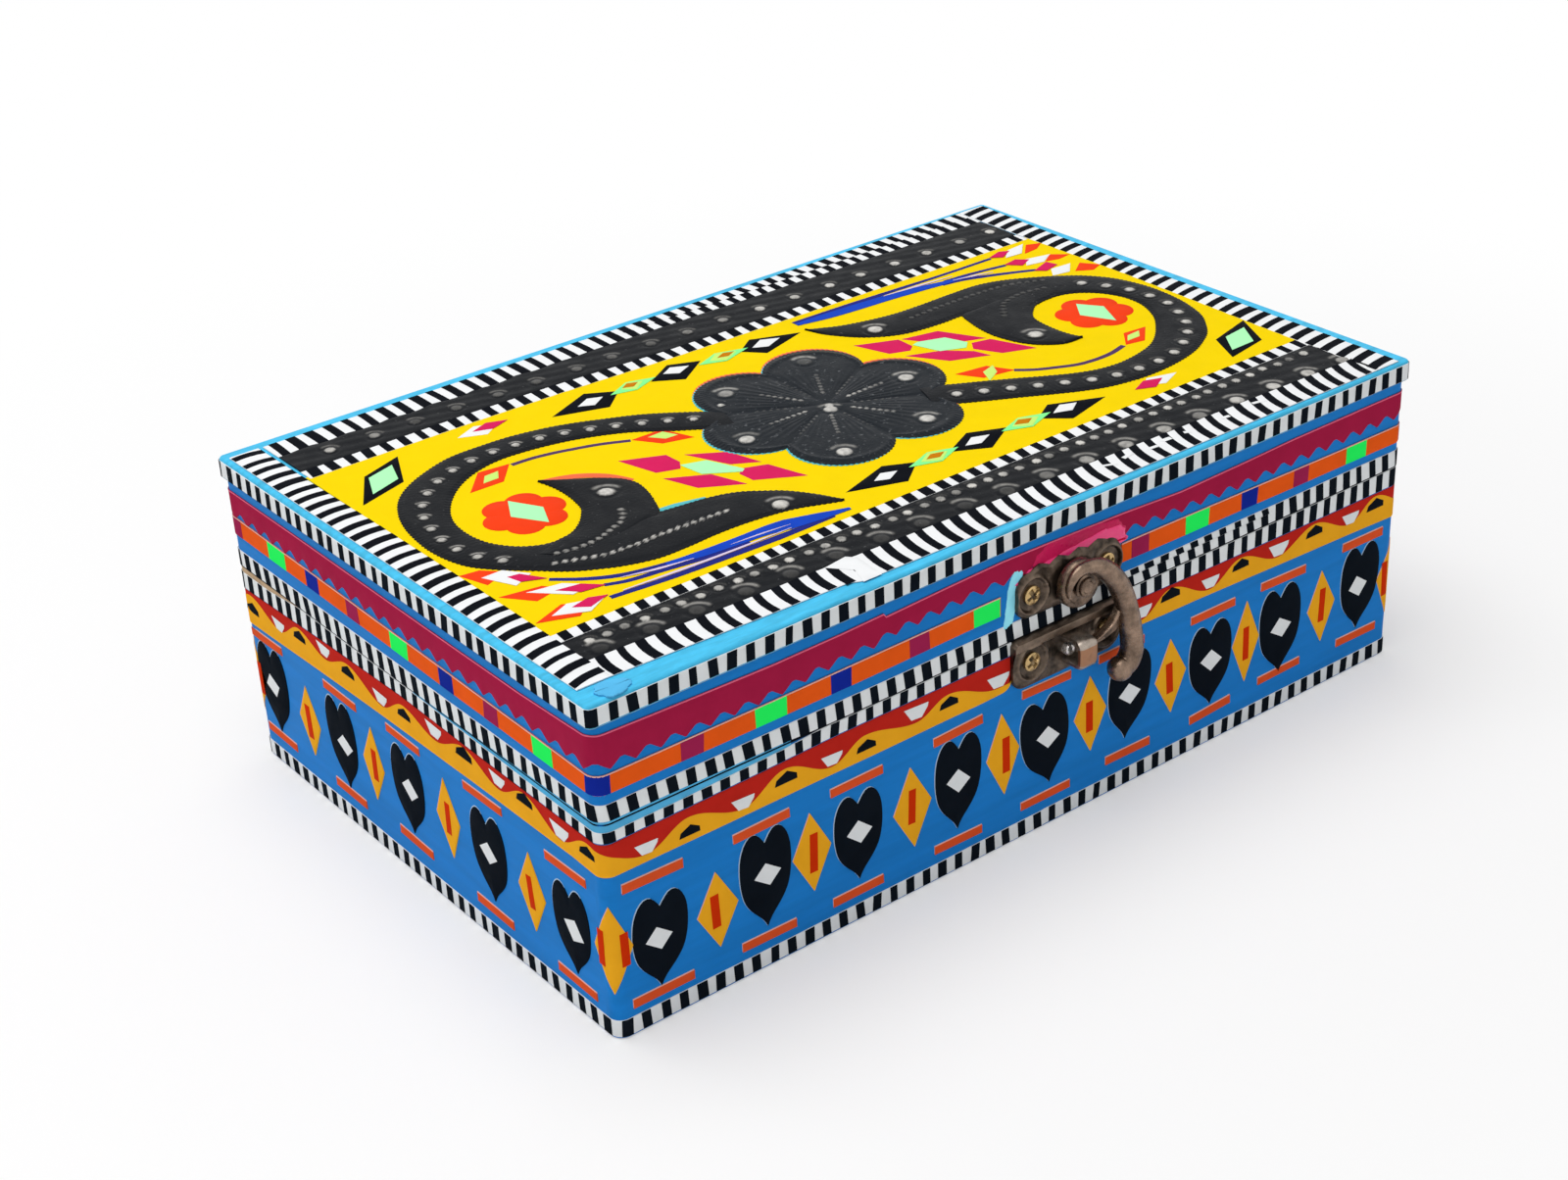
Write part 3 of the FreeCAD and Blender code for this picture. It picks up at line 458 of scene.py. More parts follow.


# painted walls: brushed enamel on the outside and the rim, bare wood within, and painted shade along the
# parting line
def paintedWood(name, grainWay):
    material, tree, shader = startMaterial(name)
    wood = graded(tree, noise(tree, 60, 6, grainWay, 0.65), woodDark, woodLight)
    brush = noise(tree, 45, 5, tuple(v / 2 for v in grainWay), 0.6)
    enamel = graded(tree, brush, shade(wallPaint, 0.84), wallPaint)
    place = addNode(tree, "SeparateXYZ", {"Vector": objectPlace(tree)}).outputs
    halves = wallRing["halfX"], wallRing["halfY"]
    reach = compute(tree, "MAXIMUM", *(compute(tree, "SUBTRACT", compute(tree, "ABSOLUTE", place[axis]),
                                               (half - 6.0) * mm) for axis, half in enumerate(halves)))
    wobble = ramp(tree, noise(tree, 120, 3), 0.3, 0.7, -0.0012, 0.0012)
    painted = ramp(tree, compute(tree, "ADD", reach, wobble), 0.0, 0.0004)
    away = compute(tree, "ABSOLUTE", compute(tree, "SUBTRACT", place[2], (baseTop + lidBottom) / 2 * mm))
    gapShade, outer = ramp(tree, away, 0.0003, 0.0006, 1.0, 0.0), ramp(tree, reach, 0.0052, 0.0057)
    # the outer edge by the parting line is darkened to near black: painted shade in the gap between lid and
    # base
    enamel = mixColour(tree, compute(tree, "MULTIPLY", gapShade, outer), enamel, (0.012, 0.014, 0.02))
    feed(tree, shader, {"Base Color": mixColour(tree, painted, wood, enamel),
                        "Roughness": ramp(tree, painted, 0, 1, 0.7, 0.42),
                        "Normal": bump(tree, brush, 0.25, 0.0003), "Specular IOR Level": 0.03})
    return material


finish["paintX"] = paintedWood("paintedBoardAlongX", alongX)
finish["paintY"] = paintedWood("paintedBoardAlongY", alongY)


# the lid's panel: sky blue outside, bare wood below
def panelPaint():
    material, tree, shader = startMaterial("skyPaintedPanel")
    height = addNode(tree, "SeparateXYZ", {"Vector": objectPlace(tree)}).outputs[2]
    brush = noise(tree, 90, 6, (1, 5, 5), 0.65)
    wood = graded(tree, noise(tree, 60, 6, alongX, 0.65), woodDark, woodLight)
    sky = graded(tree, brush, shade(skyPaint, 0.72), shade(skyPaint, 1.08))
    outside = ramp(tree, height, (panelLow[2] + 0.02) * mm, (panelLow[2] + 0.1) * mm)
    feed(tree, shader, {"Base Color": mixColour(tree, outside, wood, sky), "Roughness": 0.42,
                        "Normal": bump(tree, brush, 0.25, 0.0003), "Specular IOR Level": 0.06})
    return material


def bareWood():
    material, tree, shader = startMaterial("bareFloorBoard")
    grain = noise(tree, 60, 6, alongX, 0.65)
    rings = ramp(tree, noise(tree, 14, 2, (1, 8, 8), 0.5), 0.35, 0.65)
    light = graded(tree, grain, (0.40, 0.25, 0.13), (0.64, 0.45, 0.26))
    dark = mixColour(tree, rings, (0.30, 0.17, 0.08), woodLight)
    feed(tree, shader, {"Base Color": mixColour(tree, 0.35, light, dark),
                        "Roughness": ramp(tree, grain, 0.2, 0.8, 0.55, 0.75),
                        "Normal": bump(tree, grain, 0.3, 0.0003)})
    return material


finish["panel"] = panelPaint()
finish["floor"] = bareWood()


# antiqued metal: brown patina in the hollows, brighter where the mesh says so: rubbed wear, and on the hook
# painted highlight and shade
def antiqued(name, bright, dark, rough, rub=0.55):
    material, tree, shader = startMaterial(name)
    worn = addNode(tree, "Attribute", attribute_name="worn").outputs["Fac"]
    patina = ramp(tree, noise(tree, 320, 5, rough=0.65), 0.35, 0.7, 0.0, 0.7)
    rubbedAndLit = compute(tree, "MULTIPLY_ADD", worn, rub, patina, clamp=True)
    fine = noise(tree, 1500, 3)
    feed(tree, shader, {"Base Color": mixColour(tree, rubbedAndLit, dark, bright), "Metallic": 0.9,
                        "Roughness": ramp(tree, fine, 0.3, 0.7, rough - 0.06, rough + 0.12),
                        "Normal": bump(tree, fine, 0.2)})
    return material


metals = {   # material, bright and dark colour, roughness, rub where it is special
    "bronze": ("antiquedBrass", (0.34, 0.235, 0.17), (0.05, 0.034, 0.025), 0.27),
    "darkBronze": ("darkAntiquedBrass", (0.21, 0.155, 0.115), (0.022, 0.017, 0.013), 0.34, 0.8),
    "copper": ("rubbedCopper", (0.34, 0.175, 0.10), (0.09, 0.06, 0.042), 0.36, 0.8),
    "brass": ("turnedBrass", (0.58, 0.40, 0.18), (0.03, 0.02, 0.012), 0.26, 0.6),
    "steel": ("rubbedSteel", (0.40, 0.34, 0.29), (0.07, 0.055, 0.045), 0.32, 0.8),
    "paleMetal": ("paleMetal", (0.80, 0.78, 0.76), (0.70, 0.68, 0.66), 0.25),
}
finish |= {key: antiqued(*settings) for key, settings in metals.items()}
print("finishes mixed:", len(finish))

# boards and panels that stay as packed
nodeFinish = {
    "paintX": ["base_front_wall", "base_back_wall", "lid_front_wall", "lid_back_wall"],
    "paintY": ["base_left_wall", "base_right_wall", "lid_left_wall", "lid_right_wall"],
    "panel": ["lid_top_panel"],
    "floor": ["base_floor_panel"],
    "bronze": [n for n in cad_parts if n.startswith(("hinge_", "latch_")) and "screws" not in n],
    "brass": [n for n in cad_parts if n.endswith("_screws")],
}
for key, names in nodeFinish.items():
    for name in names:
        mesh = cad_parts[name].data
        mesh.materials.clear()
        mesh.materials.append(finish[key])
print("packed nodes finished")


# every copy a little unlike the next: size, tilt and place jittered about each middle
def scattered(shape, middles, size=0.03, tilt=0.04, shift=0.25):
    count = len(middles)
    turn = dice.normal(0, tilt, count)
    grow = 1 + dice.normal(0, size, (count, 1, 2))
    spin = np.stack([np.cos(turn), -np.sin(turn), np.sin(turn), np.cos(turn)], -1).reshape(-1, 2, 2)
    middles = np.asarray(middles, float) + dice.normal(0, shift, (count, 2))
    return middles[:, None] + np.einsum("nij,nkj->nki", spin, np.asarray(shape)[None] * grow)


def quad(width, height):
    return np.array([(-width, -height), (width, -height), (width, height), (-width, height)]) / 2


def rhomb(width, height):
    return np.array([(-width, 0), (0, -height), (width, 0), (0, height)]) / 2


# striped tapes

stripes = dict(pitch=5.0, black=2.45, tape=0.24, bar=0.06, jitter=0.12, step=0.8)


# A white strip with black bars on it, each bar's width, place and lean a little unlike the next. lean is
# a number or changes along the tape; arch bows the bars.
def stripedTape(lay, start, end, lowEdge, highEdge, lean=0.0, ring=False, foot=0.0,
                pitch=stripes["pitch"], arch=0.0):
    s = np.linspace(start, end, int((end - start) / stripes["step"]), endpoint=not ring)
    strip = tapeRun(lay, s, lowEdge(s), highEdge(s), stripes["tape"], foot, ring=ring)
    count = int(round((end - start) / pitch))
    jitter = stripes["jitter"]
    middle = start + (np.arange(count) + 0.5) * (end - start) / count + dice.normal(0, jitter, count)
    half = stripes["black"] / 2 * pitch / stripes["pitch"] + dice.normal(0, jitter, count)
    skew = (lean(middle) if callable(lean) else lean) + dice.normal(0, 0.1, count)
    low, high = lowEdge(middle) + 0.04, highEdge(middle) - 0.04
    rise = np.linspace(0, 1, 5)[:, None]
    across, up = np.array([(-1, 0), (-1, 1), (-0.33, 1), (0.33, 1), (1, 1), (1, 0)]).T
    place, reach, slant, low, high = (v[:, None, None] for v in (middle, half, skew, low, high))
    along = place + reach * across + slant * (2 * rise - 1) + arch * np.sin(math.pi * rise)
    bars = lay(along, low + (high - low) * rise, foot + stripes["tape"] + stripes["bar"] * up)
    return [strip, block(closeEnds(bars), 1)]


def stripedPiece(name, blocks, body, node, colours=("wallWhite", "wallBlack")):
    gridPiece(name, blocks, colours, body, [node])


# a level with a slow drift, which may swing through (place, change) pairs and is even beyond them
def handLaid(height, size, seed, changes=()):
    first = min([-150] + [place - 20 for place, change in changes[:1]])
    places, steps = np.array([(first, 0), *changes, (150, 0)], float).T

    def edge(s):
        s = np.asarray(s, float)
        return height + drift(s, size, seed) + np.interp(np.where(s > whole / 2, s - whole, s), places, steps)

    return edge


def tapeLevels(node):
    return [end[2] for end in nodeBox(node)]


# runs of the tapes: those of the lid stop at the hinges, those of the base at the latch too
tapeClear = 1.0
whole = girth(wallRing)
hingeLow, hingeHigh = nodeBox("hinge_left_base_leaf")
plateLow, plateHigh = nodeBox("latch_base_plate")
hingeGaps = sorted((atBack(high + tapeClear), atBack(low - tapeClear)) for low, high in (
    (hingeLow[0], hingeHigh[0]), (-hingeHigh[0], -hingeLow[0])))
lidRuns = [(hingeGaps[1][1] - whole, hingeGaps[0][0]), (hingeGaps[0][1], hingeGaps[1][0])]
baseRuns = [(lidRuns[0][0], plateLow[0] - tapeClear), (plateHigh[0] + tapeClear, lidRuns[0][1]), lidRuns[1]]

# the base rim tape dips at the near corner, where light paint shows above it, and at the left back,
# where the wood shows; near the corner the lid's tape stops short of the lid's lower edge too
rimBare = dict(paint=(-200, -72), wood=(float(atLeft(82)), float(atLeft(46))), dip=1.5, film=0.1,
               near=[(-200, 0), (-160, 0.9), (-126, 1.7), (-105, 1.7), (-92, 1.3), (-76, 0.8), (-67, 0)])


def nearDip(s):
    return np.interp(s, *np.array(rimBare["near"]).T)


def rimTop(s):
    start, end = rimBare["wood"]
    woodDip = rimBare["dip"] * smoothStep(start, start + 4, s) * smoothStep(end, end - 20, s)
    return baseTop - 0.05 - np.maximum(nearDip(s), woodDip) + drift(s, 0.02, 3)


def lidRimEdge(s):
    return lidBottom + 0.03 + 0.35 * nearDip(s) + drift(s, 0.015, 5)


def bareSpan(key):
    return np.arange(rimBare[key][0] + 2, rimBare[key][1] - 2, stripes["step"])


s = bareSpan("paint")
above = tapeRun(wall, s, lidBottom + 0.02, lidRimEdge(s) + 0.1, rimBare["film"])
gridPiece("bareLidRim", [above], ["skyRim"], "lid")
blocks = [tapeRun(wall, s, rimTop(s) - 0.1, baseTop - 0.14, rimBare["film"], number=number)
          for number, s in enumerate((bareSpan("paint"), bareSpan("wood")))]
gridPiece("bareRim", blocks, ["skyRim", "floor"], "base")

low, high = tapeLevels("base_skirt_tape")
blocks = stripedTape(wall, 0, whole, handLaid(low, 0.05, 1), handLaid(high, 0.1, 2), ring=True)
stripedPiece("skirtTape", blocks, "base", "base_skirt_tape")
rimChange = [(-282, -1.7), (-240, 0), (-205, 1.1), (-160, 0.4), (-126, 0), (-100, 0.3), (-62, 1.2),
             (-10, 1.1), (30, 0.8), (67, 0), (125, -0.5)]
rimLow = handLaid(tapeLevels("base_rim_tape")[0], 0.1, 4, rimChange)
blocks = sum([stripedTape(wall, *run, rimLow, rimTop) for run in baseRuns], [])
stripedPiece("baseRimTape", blocks, "base", "base_rim_tape")
torn = (26.5, 76.5)   # here the lid's tape is torn lengthwise
high = tapeLevels("lid_rim_tape")[1]
lidRimTop, tear = handLaid(high, 0.1, 6), handLaid(high - 1.75, 0.12, 21)
lengths = [(lidRuns[0][0], torn[0], lidRimEdge, lidRimTop), (*torn, tear, lidRimTop),
           (torn[0] - 1.2, torn[1], lidRimEdge, tear), (torn[1], lidRuns[0][1], lidRimEdge, lidRimTop),
           (*lidRuns[1], lidRimEdge, lidRimTop)]
blocks = sum([stripedTape(wall, *length, -0.25) for length in lengths], [])
stripedPiece("lidRimTape", blocks, "lid", "lid_rim_tape")
low, high = tapeLevels("lid_edge_tape")
edges = handLaid(low, 0.06, 7), handLaid(high, 0.06, 8)
blocks = stripedTape(rimWall, -1.8, girth(panelRing) - 1.8, *edges, ring=True)
stripedPiece("panelEdgeTape", blocks, "lid", "lid_edge_tape")
print("striped tapes laid")


# levels for count pieces: the first ones, on the front and left, by their own rises
def raised(level, rises, count):
    return level + np.concatenate([rises, np.zeros(count - len(rises))])


# wave tape: a red strip, an amber strip over it whose upper edge swings between the motifs' places,
# white five-sided pieces in the red bays and black ones in the amber crests
wave = dict(lower=[(-282, -2.6), (-250, -1.4), (-226, -0.5), (-175, 0.8), (-135, 1.1), (-126, 0.6),
            (-20, 0.7), (26, 2.2), (50, 1.8), (83, 0.7), (125, -0.7)], whiteRise=(-0.5, -0.5, -0.1, 1.8, 0.5,
            0.9, 0.4, 0.6, 0.1, -1.1, 1.9, 0, 2.4, 2, 0.6), blackRise=(-1.6, 0.2, -1.2, 0.2, 1.7, 0.8, 0.4,
            0.1, -2.6, -0.4, 0.1, 0.1, 1.9, 1.7, -0.1), film=0.2, over=0.08, motif=0.06, trough=44.2,
            crest=48.9, period=25.0, whiteFront=(-114, -88.5, -63.9, -39.4, -14.6, 31.8, 55.2, 79.6, 106.4),
            blackFront=(-102.9, -76.8, -54.2, -29.8, 41.3, 65.8, 92.7, 115.8),
            whiteLeft=(60.8, 37.4, 10.8, -13.6, -40.2, -64.5),
            blackLeft=(74.9, 49.9, 26.1, 0.1, -26.2, -50.9, -74.6))
halfWave = wave["period"] / 2
spans = [np.arange(wallRing["halfX"] + 3.0, baseRuns[1][1] - 4, halfWave),
         np.arange(lidRuns[1][0] + 8, lidRuns[1][1] - 4, halfWave),
         np.arange(atLeft(86), baseRuns[0][0] + 4, -halfWave)]
whiteAt = np.concatenate([wave["whiteFront"], atLeft(wave["whiteLeft"])] + [span[0::2] for span in spans])
blackAt = np.concatenate([wave["blackFront"], atLeft(wave["blackLeft"])] + [span[1::2] for span in spans])


# the amber's upper edge: half cosines between trough and crest, knot to knot
def waveEdge(s):
    knots = np.concatenate([whiteAt, blackAt])
    level = np.concatenate([raised(wave["trough"], 0.7 * np.array(wave["whiteRise"]), len(whiteAt)),
                            raised(wave["crest"], 0.5 * np.array(wave["blackRise"]), len(blackAt))])
    order = np.argsort(knots)
    knots, level = knots[order], level[order]
    leg = np.clip(np.searchsorted(knots, s) - 1, 0, len(knots) - 2)
    u = np.clip((s - knots[leg]) / (knots[leg + 1] - knots[leg]), 0, 1)
    return level[leg] + (level[leg + 1] - level[leg]) * (0.5 - 0.5 * np.cos(math.pi * u))


def layWave():
    low, high = tapeLevels("base_wave_tape")
    lowEdge, highEdge = handLaid(low, 0.08, 9, wave["lower"]), handLaid(high, 0.06, 4, rimChange)
    red, amber, pieces = [], [], []
    for start, end in baseRuns:
        s = np.linspace(start, end, int((end - start) / 0.5))
        bay = np.minimum(s - start, end - s)   # the lower corners are rounded
        lower = lowEdge(s) + np.where(bay < 3, 3 - np.sqrt(np.maximum(0, 9 - (3 - bay) ** 2)), 0) * 0.8
        red.append(tapeRun(wall, s, lower + 0.5, highEdge(s), wave["film"]))
        edge = np.maximum(waveEdge(s) + drift(s, 0.12, 11), lower + 0.8)
        amber.append(tapeRun(wall, s, lower, edge, wave["over"], wave["film"], 1))
    down = [(-3.2, 1.5), (3.1, 1.2), (2.9, 0.3), (1.3, -1.6), (-1.4, -1.4)]
    up = [(-3.1, -1.4), (3.1, -1.4), (3.0, 0.0), (0.4, 1.5), (-2.6, 0.1)]
    for number, places, shape, level, rises in ((2, whiteAt, down, 46.1, wave["whiteRise"]),
                                                (3, blackAt, up, 46.9, wave["blackRise"])):
        size = 1 + dice.normal(0, 0.07, (len(places), 1, 1))
        middle = paired(places, raised(level, rises, len(places)) + dice.normal(0, 0.15, len(places)))
        outline = middle[:, None] + sides(shape) * size
        pieces.append(cutouts(outline, wall, wave["motif"], wave["film"] + wave["over"], 0.05, number=number))
    colours = ["red", "amber", "wallWhite", "wallBlack"]
    gridPiece("waveTape", red + amber + pieces, colours, "base", ["base_wave_tape"])


layWave()
print("wave tape laid")

# block tape: an orange strip with purple, green and navy pieces, as (kind, place), and a pale line along its
# upper edge, a painted highlight
blockTape = dict(film=0.22, piece=0.06, spacing=20.0, half=dict(purple=2.75, green=4.0, navy=2.8),
                 front=[("purple", -100.5), ("green", -79.8), ("navy", -60.3), ("purple", -38),
                 ("green", -17.9), ("purple", 30.7), ("green", 49.8), ("navy", 68), ("purple", 86.5),
                 ("green", 107)], left=[("purple", 76.5), ("green", 55.7), ("navy", 38), ("purple", 19),
                 ("green", -2), ("navy", -22.3), ("purple", -40.6), ("green", -60.7)])
blockTilt = [(-282, 1.6), (-240, 1.1), (-205, 0.7), (-150, 0), (-125, -0.3), (-60, -0.1), (-20, 0.4),
             (28, 0.3), (83, -0.3), (125, -0.5)]


def layBlocks():
    low, high = tapeLevels("lid_block_tape")
    lower, upper = handLaid(low, 0.08, 12, blockTilt), handLaid(high, 0.08, 13, blockTilt)
    gap = nodeBox("latch_lid_plate")
    blocks = []
    for start, end in ((lidRuns[0][0], gap[0][0] - 4.3), (gap[1][0] + tapeClear, lidRuns[0][1]), lidRuns[1]):
        s = np.linspace(start, end, int((end - start) / stripes["step"]))
        blocks.append(tapeRun(wall, s, lower(s), upper(s), blockTape["film"]))
        # a pale peach line along the upper edge: painted highlight
        blocks.append(tapeRun(wall, s, upper(s) - 0.22, upper(s) + 0.08, 0.07, blockTape["film"], 4))
    places = blockTape["front"] + [(kind, atLeft(y)) for kind, y in blockTape["left"]]
    places.append(("navy", 2.4 - sideStart))
    spots = np.concatenate([np.arange(start, end, blockTape["spacing"]) for start, end in (
        (127, lidRuns[0][1] - 5), (lidRuns[1][0] + 10, lidRuns[1][1] - 5), (lidRuns[0][0] + 8, atLeft(84)))])
    places += [(("navy", "purple", "green")[i % 3], spot) for i, spot in enumerate(spots)]
    rings = (0.86, 0.72, 0.58, 0.44, 0.3, 0.15)
    for number, kind in enumerate(("purple", "green", "navy"), 1):
        middle = np.array([spot for name, spot in places if name == kind])
        half = blockTape["half"][kind] + dice.normal(0, 0.15, len(middle))
        left, right = middle - half, middle + half
        corners = np.stack([left, lower(left) + 0.1, right, lower(right) + 0.1, right, upper(right) - 0.1,
                            left, upper(left) - 0.1], -1).reshape(-1, 4, 2)
        corners[..., 0] += dice.normal(0, 0.12, corners.shape[:2])
        films = cutouts(sides(corners, 6), wall, blockTape["piece"], blockTape["film"], 0.05, rings, number)
        blocks.append(films)
    gridPiece("blockTape", blocks, ["orange", "purple", "green", "navy", "peachHighlight"], "lid",
              ["lid_block_tape"])


layBlocks()

# crimson tape: rounded notches in its lower edge let blue teeth point up into it, and a thin pink line
# follows its upper edge; it runs behind the latch plate
zigzag = dict(film=0.24, pitch=6.35, depth=2.1, line=0.35, step=0.35, lower=[(-125, -0.5), (-82, -1.1),
              (-75, -1), (-67, -0.1), (-50, 0.4), (-46, 1.3), (-20, 1.8), (25, 1.1), (44, 0.4), (60, 0),
              (100, 0), (125, 0.4)], upper=[(-125, 0.8), (-110, 0.4), (-78, -0.2), (-60, 0), (-48, 0.4),
              (-47.4, -0.5), (-30, 0.1), (-13, 0.6), (0, 0.4), (25, -0.2), (44, -1.1), (67, -0.7),
              (83, -0.2), (125, 0)])


def layZigzag():
    low, high = tapeLevels("lid_zigzag_tape")
    s = np.arange(0, whole, zigzag["step"])
    along = np.where(s > whole / 2, s - whole, s)
    phase = np.mod(s / (whole / round(whole / zigzag["pitch"])), 1)
    tooth = np.clip(1.12 - np.abs(phase - 0.5) * 2.3, 0, 0.92) * zigzag["depth"]
    lower = tooth + handLaid(low - 0.2, 0.1, 14, zigzag["lower"])(along)
    upper = handLaid(high, 0.05, 15, zigzag["upper"])(along)
    strip = tapeRun(wall, s, lower, upper, zigzag["film"], ring=True)
    line = tapeRun(wall, s, upper - zigzag["line"], upper + 0.05, 0.05, zigzag["film"], 1, True)
    gridPiece("zigzagTape", [strip, line], ["crimson", "pink"], "lid", ["lid_zigzag_tape"])


layZigzag()
print("block and zigzag tapes laid")

# cut-outs on the base: hearts with white lozenges, amber diamonds with red bars, dashes
motifs = dict(film=0.22, top=0.06, heart=(14.6, 23.9, 23.2), diamond=(10.4, 21.4, 23.0), bar=(2.2, 9.2),
              dash=(15.4, 2.2), dashHigh=38.0, dashLow=8.9, lozenge=((-3.7, 0.1), (-0.3, 3.0), (3.8, -0.2),
              (0.4, -3.1)), tucked=5, heartRise=(-2.2, -0.1, -0.2, 0.3, 0.3, 1.6, -0.2, -0.2, 0.9, -0.3,
              -0.7, 0.8, 0.2, -1.7),
              diamondRise=(-1.7, 1.0, 0.3, 2.4, 2.0, 1.4, 1.0, 0.9, -1.7, 0.9, 2.6, 0.3), dashRise=((-0.3,
              -0.8, -0.8, -0.4, 0.9, 0.7, -0.1, -0.7, -0.4, -1.1, -1.1, 0.3, 1.8, -0.3), (-1.5, -1.3, -0.5,
              -0.3, -0.5, 0.5, 1.1, 0.8, 1.0, -0.8, -0.2, 1, -0.5, -1.1)),
              heartsFront=(-112.4, -83.4, -57.2, -27.6, 0.6, 28.2, 56.5, 81.9, 111.8),
              heartsLeft=(69.5, 33.5, 2.4, -32, -65.5),
              diamondsFront=(-97.5, -70.2, -41, -12.4, 14.9, 42.2, 69.2, 97.5),
              diamondsLeft=(51.8, 19.1, -14.9, -49.5))


def heartOutline(width, height):
    half = [(0, 0.745), (0.13, 0.86), (0.33, 0.985), (0.55, 0.995), (0.78, 0.87), (0.95, 0.62), (1, 0.3),
            (0.96, -0.04), (0.85, -0.3), (0.62, -0.53), (0.38, -0.69), (0.18, -0.82), (0.06, -0.93), (0, -1)]
    right = throughPoints(half, 26) * (width / 2, height / 2)
    return np.concatenate([right, right[1:-1][::-1] * (-1, 1)])


# a film over a pale one that peeps out on its upper left: a painted highlight where the film's edge catches
# the light
def edgeHighlighted(places, shift, inner=(0.55,)):
    pale = cutouts(places + shift, wall, 0.1, 0, 0.05, inner, 1)
    return [pale, cutouts(places, wall, motifs["film"], inner=inner)]


# a small film on top of another
def onFilm(places, ease=0.12):
    return [cutouts(places, wall, motifs["top"], motifs["film"], ease)]


def layMotifs():
    width, height, level = motifs["heart"]
    hearts = np.concatenate([motifs["heartsFront"], atLeft(motifs["heartsLeft"]),
                             atRight((-67.0, -33.5, 0, 33.5, 67.0)), atBack(np.arange(-112.0, 113, 28))])
    middles = paired(hearts, raised(level, motifs["heartRise"], len(hearts)))
    places = scattered(heartOutline(width, height), middles, 0.03, 0.05, 0.3)
    films = edgeHighlighted(places, (-0.18, 0.2))
    gridPiece("hearts", films, ["wallBlack", "paleEdgeHighlight"], "base", ["base_hearts"])
    places = scattered(sides(motifs["lozenge"], 3), middles + (0, 0.8), 0.05, 0.09, 0.3)
    gridPiece("heartLozenges", onFilm(places), ["wallWhite"], "base", ["base_heart_lozenges"])
    width, height, level = motifs["diamond"]
    corner = sideStart - wallRing["bend"] * math.pi / 4
    backCorner = corner + 2 * (wallRing["halfY"] - wallRing["bend"]) + wallRing["bend"] * math.pi / 2
    corners = np.array((-backCorner, -corner, corner, backCorner))
    between = np.concatenate([motifs["diamondsFront"], atLeft(motifs["diamondsLeft"]),
                              atRight((-50.25, -16.75, 16.75, 50.25)), atBack(np.arange(-98.0, 99, 28))])
    diamonds = np.concatenate([between, corners])
    middles = paired(diamonds, raised(level, motifs["diamondRise"], len(diamonds)))
    places = scattered(sides(rhomb(width, height), 6), middles, 0.04, 0.03, 0.25)
    films = edgeHighlighted(places, (-0.14, 0.16), (0.8, 0.55, 0.3))
    gridPiece("diamonds", films, ["amber", "peachHighlight"], "base", ["base_diamonds"])
    bars = np.concatenate([between, corners - 2.6, corners + 2.6])
    middles = paired(bars, raised(level, motifs["diamondRise"], len(bars)))
    places = scattered(sides(quad(*motifs["bar"]), 2), middles, 0.05, 0.03, 0.2)
    gridPiece("diamondBars", onFilm(places, 0.06), ["ember"], "base", ["base_diamond_bars"])
    rows = zip((motifs["dashHigh"], motifs["dashLow"]), motifs["dashRise"])
    levels = [raised(level, rises, len(hearts)) for level, rises in rows]
    middles = paired(np.tile(hearts, 2), np.concatenate(levels))
    middles[motifs["tucked"], 0] -= 2.8   # this dash ends behind the hook
    places = scattered(sides(quad(*motifs["dash"]), 4), middles, 0.04, 0.02, 0.35)
    gridPiece("dashes", edgeHighlighted(places, (-0.1, 0.3)), ["dash", "peachHighlight"], "base", ["base_dashes"])


layMotifs()
print("wall cut-outs laid")

# on top: borders, strips and pressed bands; each edge is a row of (place along, level)
borderFoot = 0.12   # the border laps over the sheet, the strips and the bands
top = dict(ends=(-115.0, 114.4), joint=-10.0, leftOuter=[(-74, -123.3), (0, -123.7), (77, -124)],
           leftInner=[(-74, -114.7), (0, -115.2), (77, -116)], rightInner=[(-80, 113.2), (-40, 113.6),
           (10, 115.2), (78, 114.7)], rightOuter=[(-80, 121.7), (30, 121.8), (78, 123.5)],
           backInner=[(-116, 68.2), (-60, 68.5), (0, 69.2), (114, 68.7)], backSplit=[(-10, 73), (114, 73.4)],
           backOuter=[(-116, 76.4), (0, 76.9), (114, 78.2)], frontInner=[(-115, -65.2), (-68, -66.8),
           (0, -68.2), (114, -70.7)], frontOuter=[(-115, -73.7), (-68, -75.6), (-54, -76), (-51, -77.5),
           (0, -78.2), (114, -79.6)], stripBackLow=[(-115, 52.2), (-68, 52.7), (-43, 52.3), (-8, 50.6),
           (60, 49.6), (114, 48.8)], stripBackHigh=[(-115, 57.3), (-68, 58), (-43, 57.6), (-8, 55.6),
           (60, 54.5), (114, 53.7)], stripFrontLow=[(-115, -55), (0, -55.9), (114, -57.2)],
           stripFrontHigh=[(-115, -51.2), (0, -51.9), (114, -52.8)])


def topEdge(key, size=0.1):
    places, levels = np.array(top[key], float).T
    return lambda s: np.interp(s, places, levels) + drift(np.asarray(s, float), size, len(key))


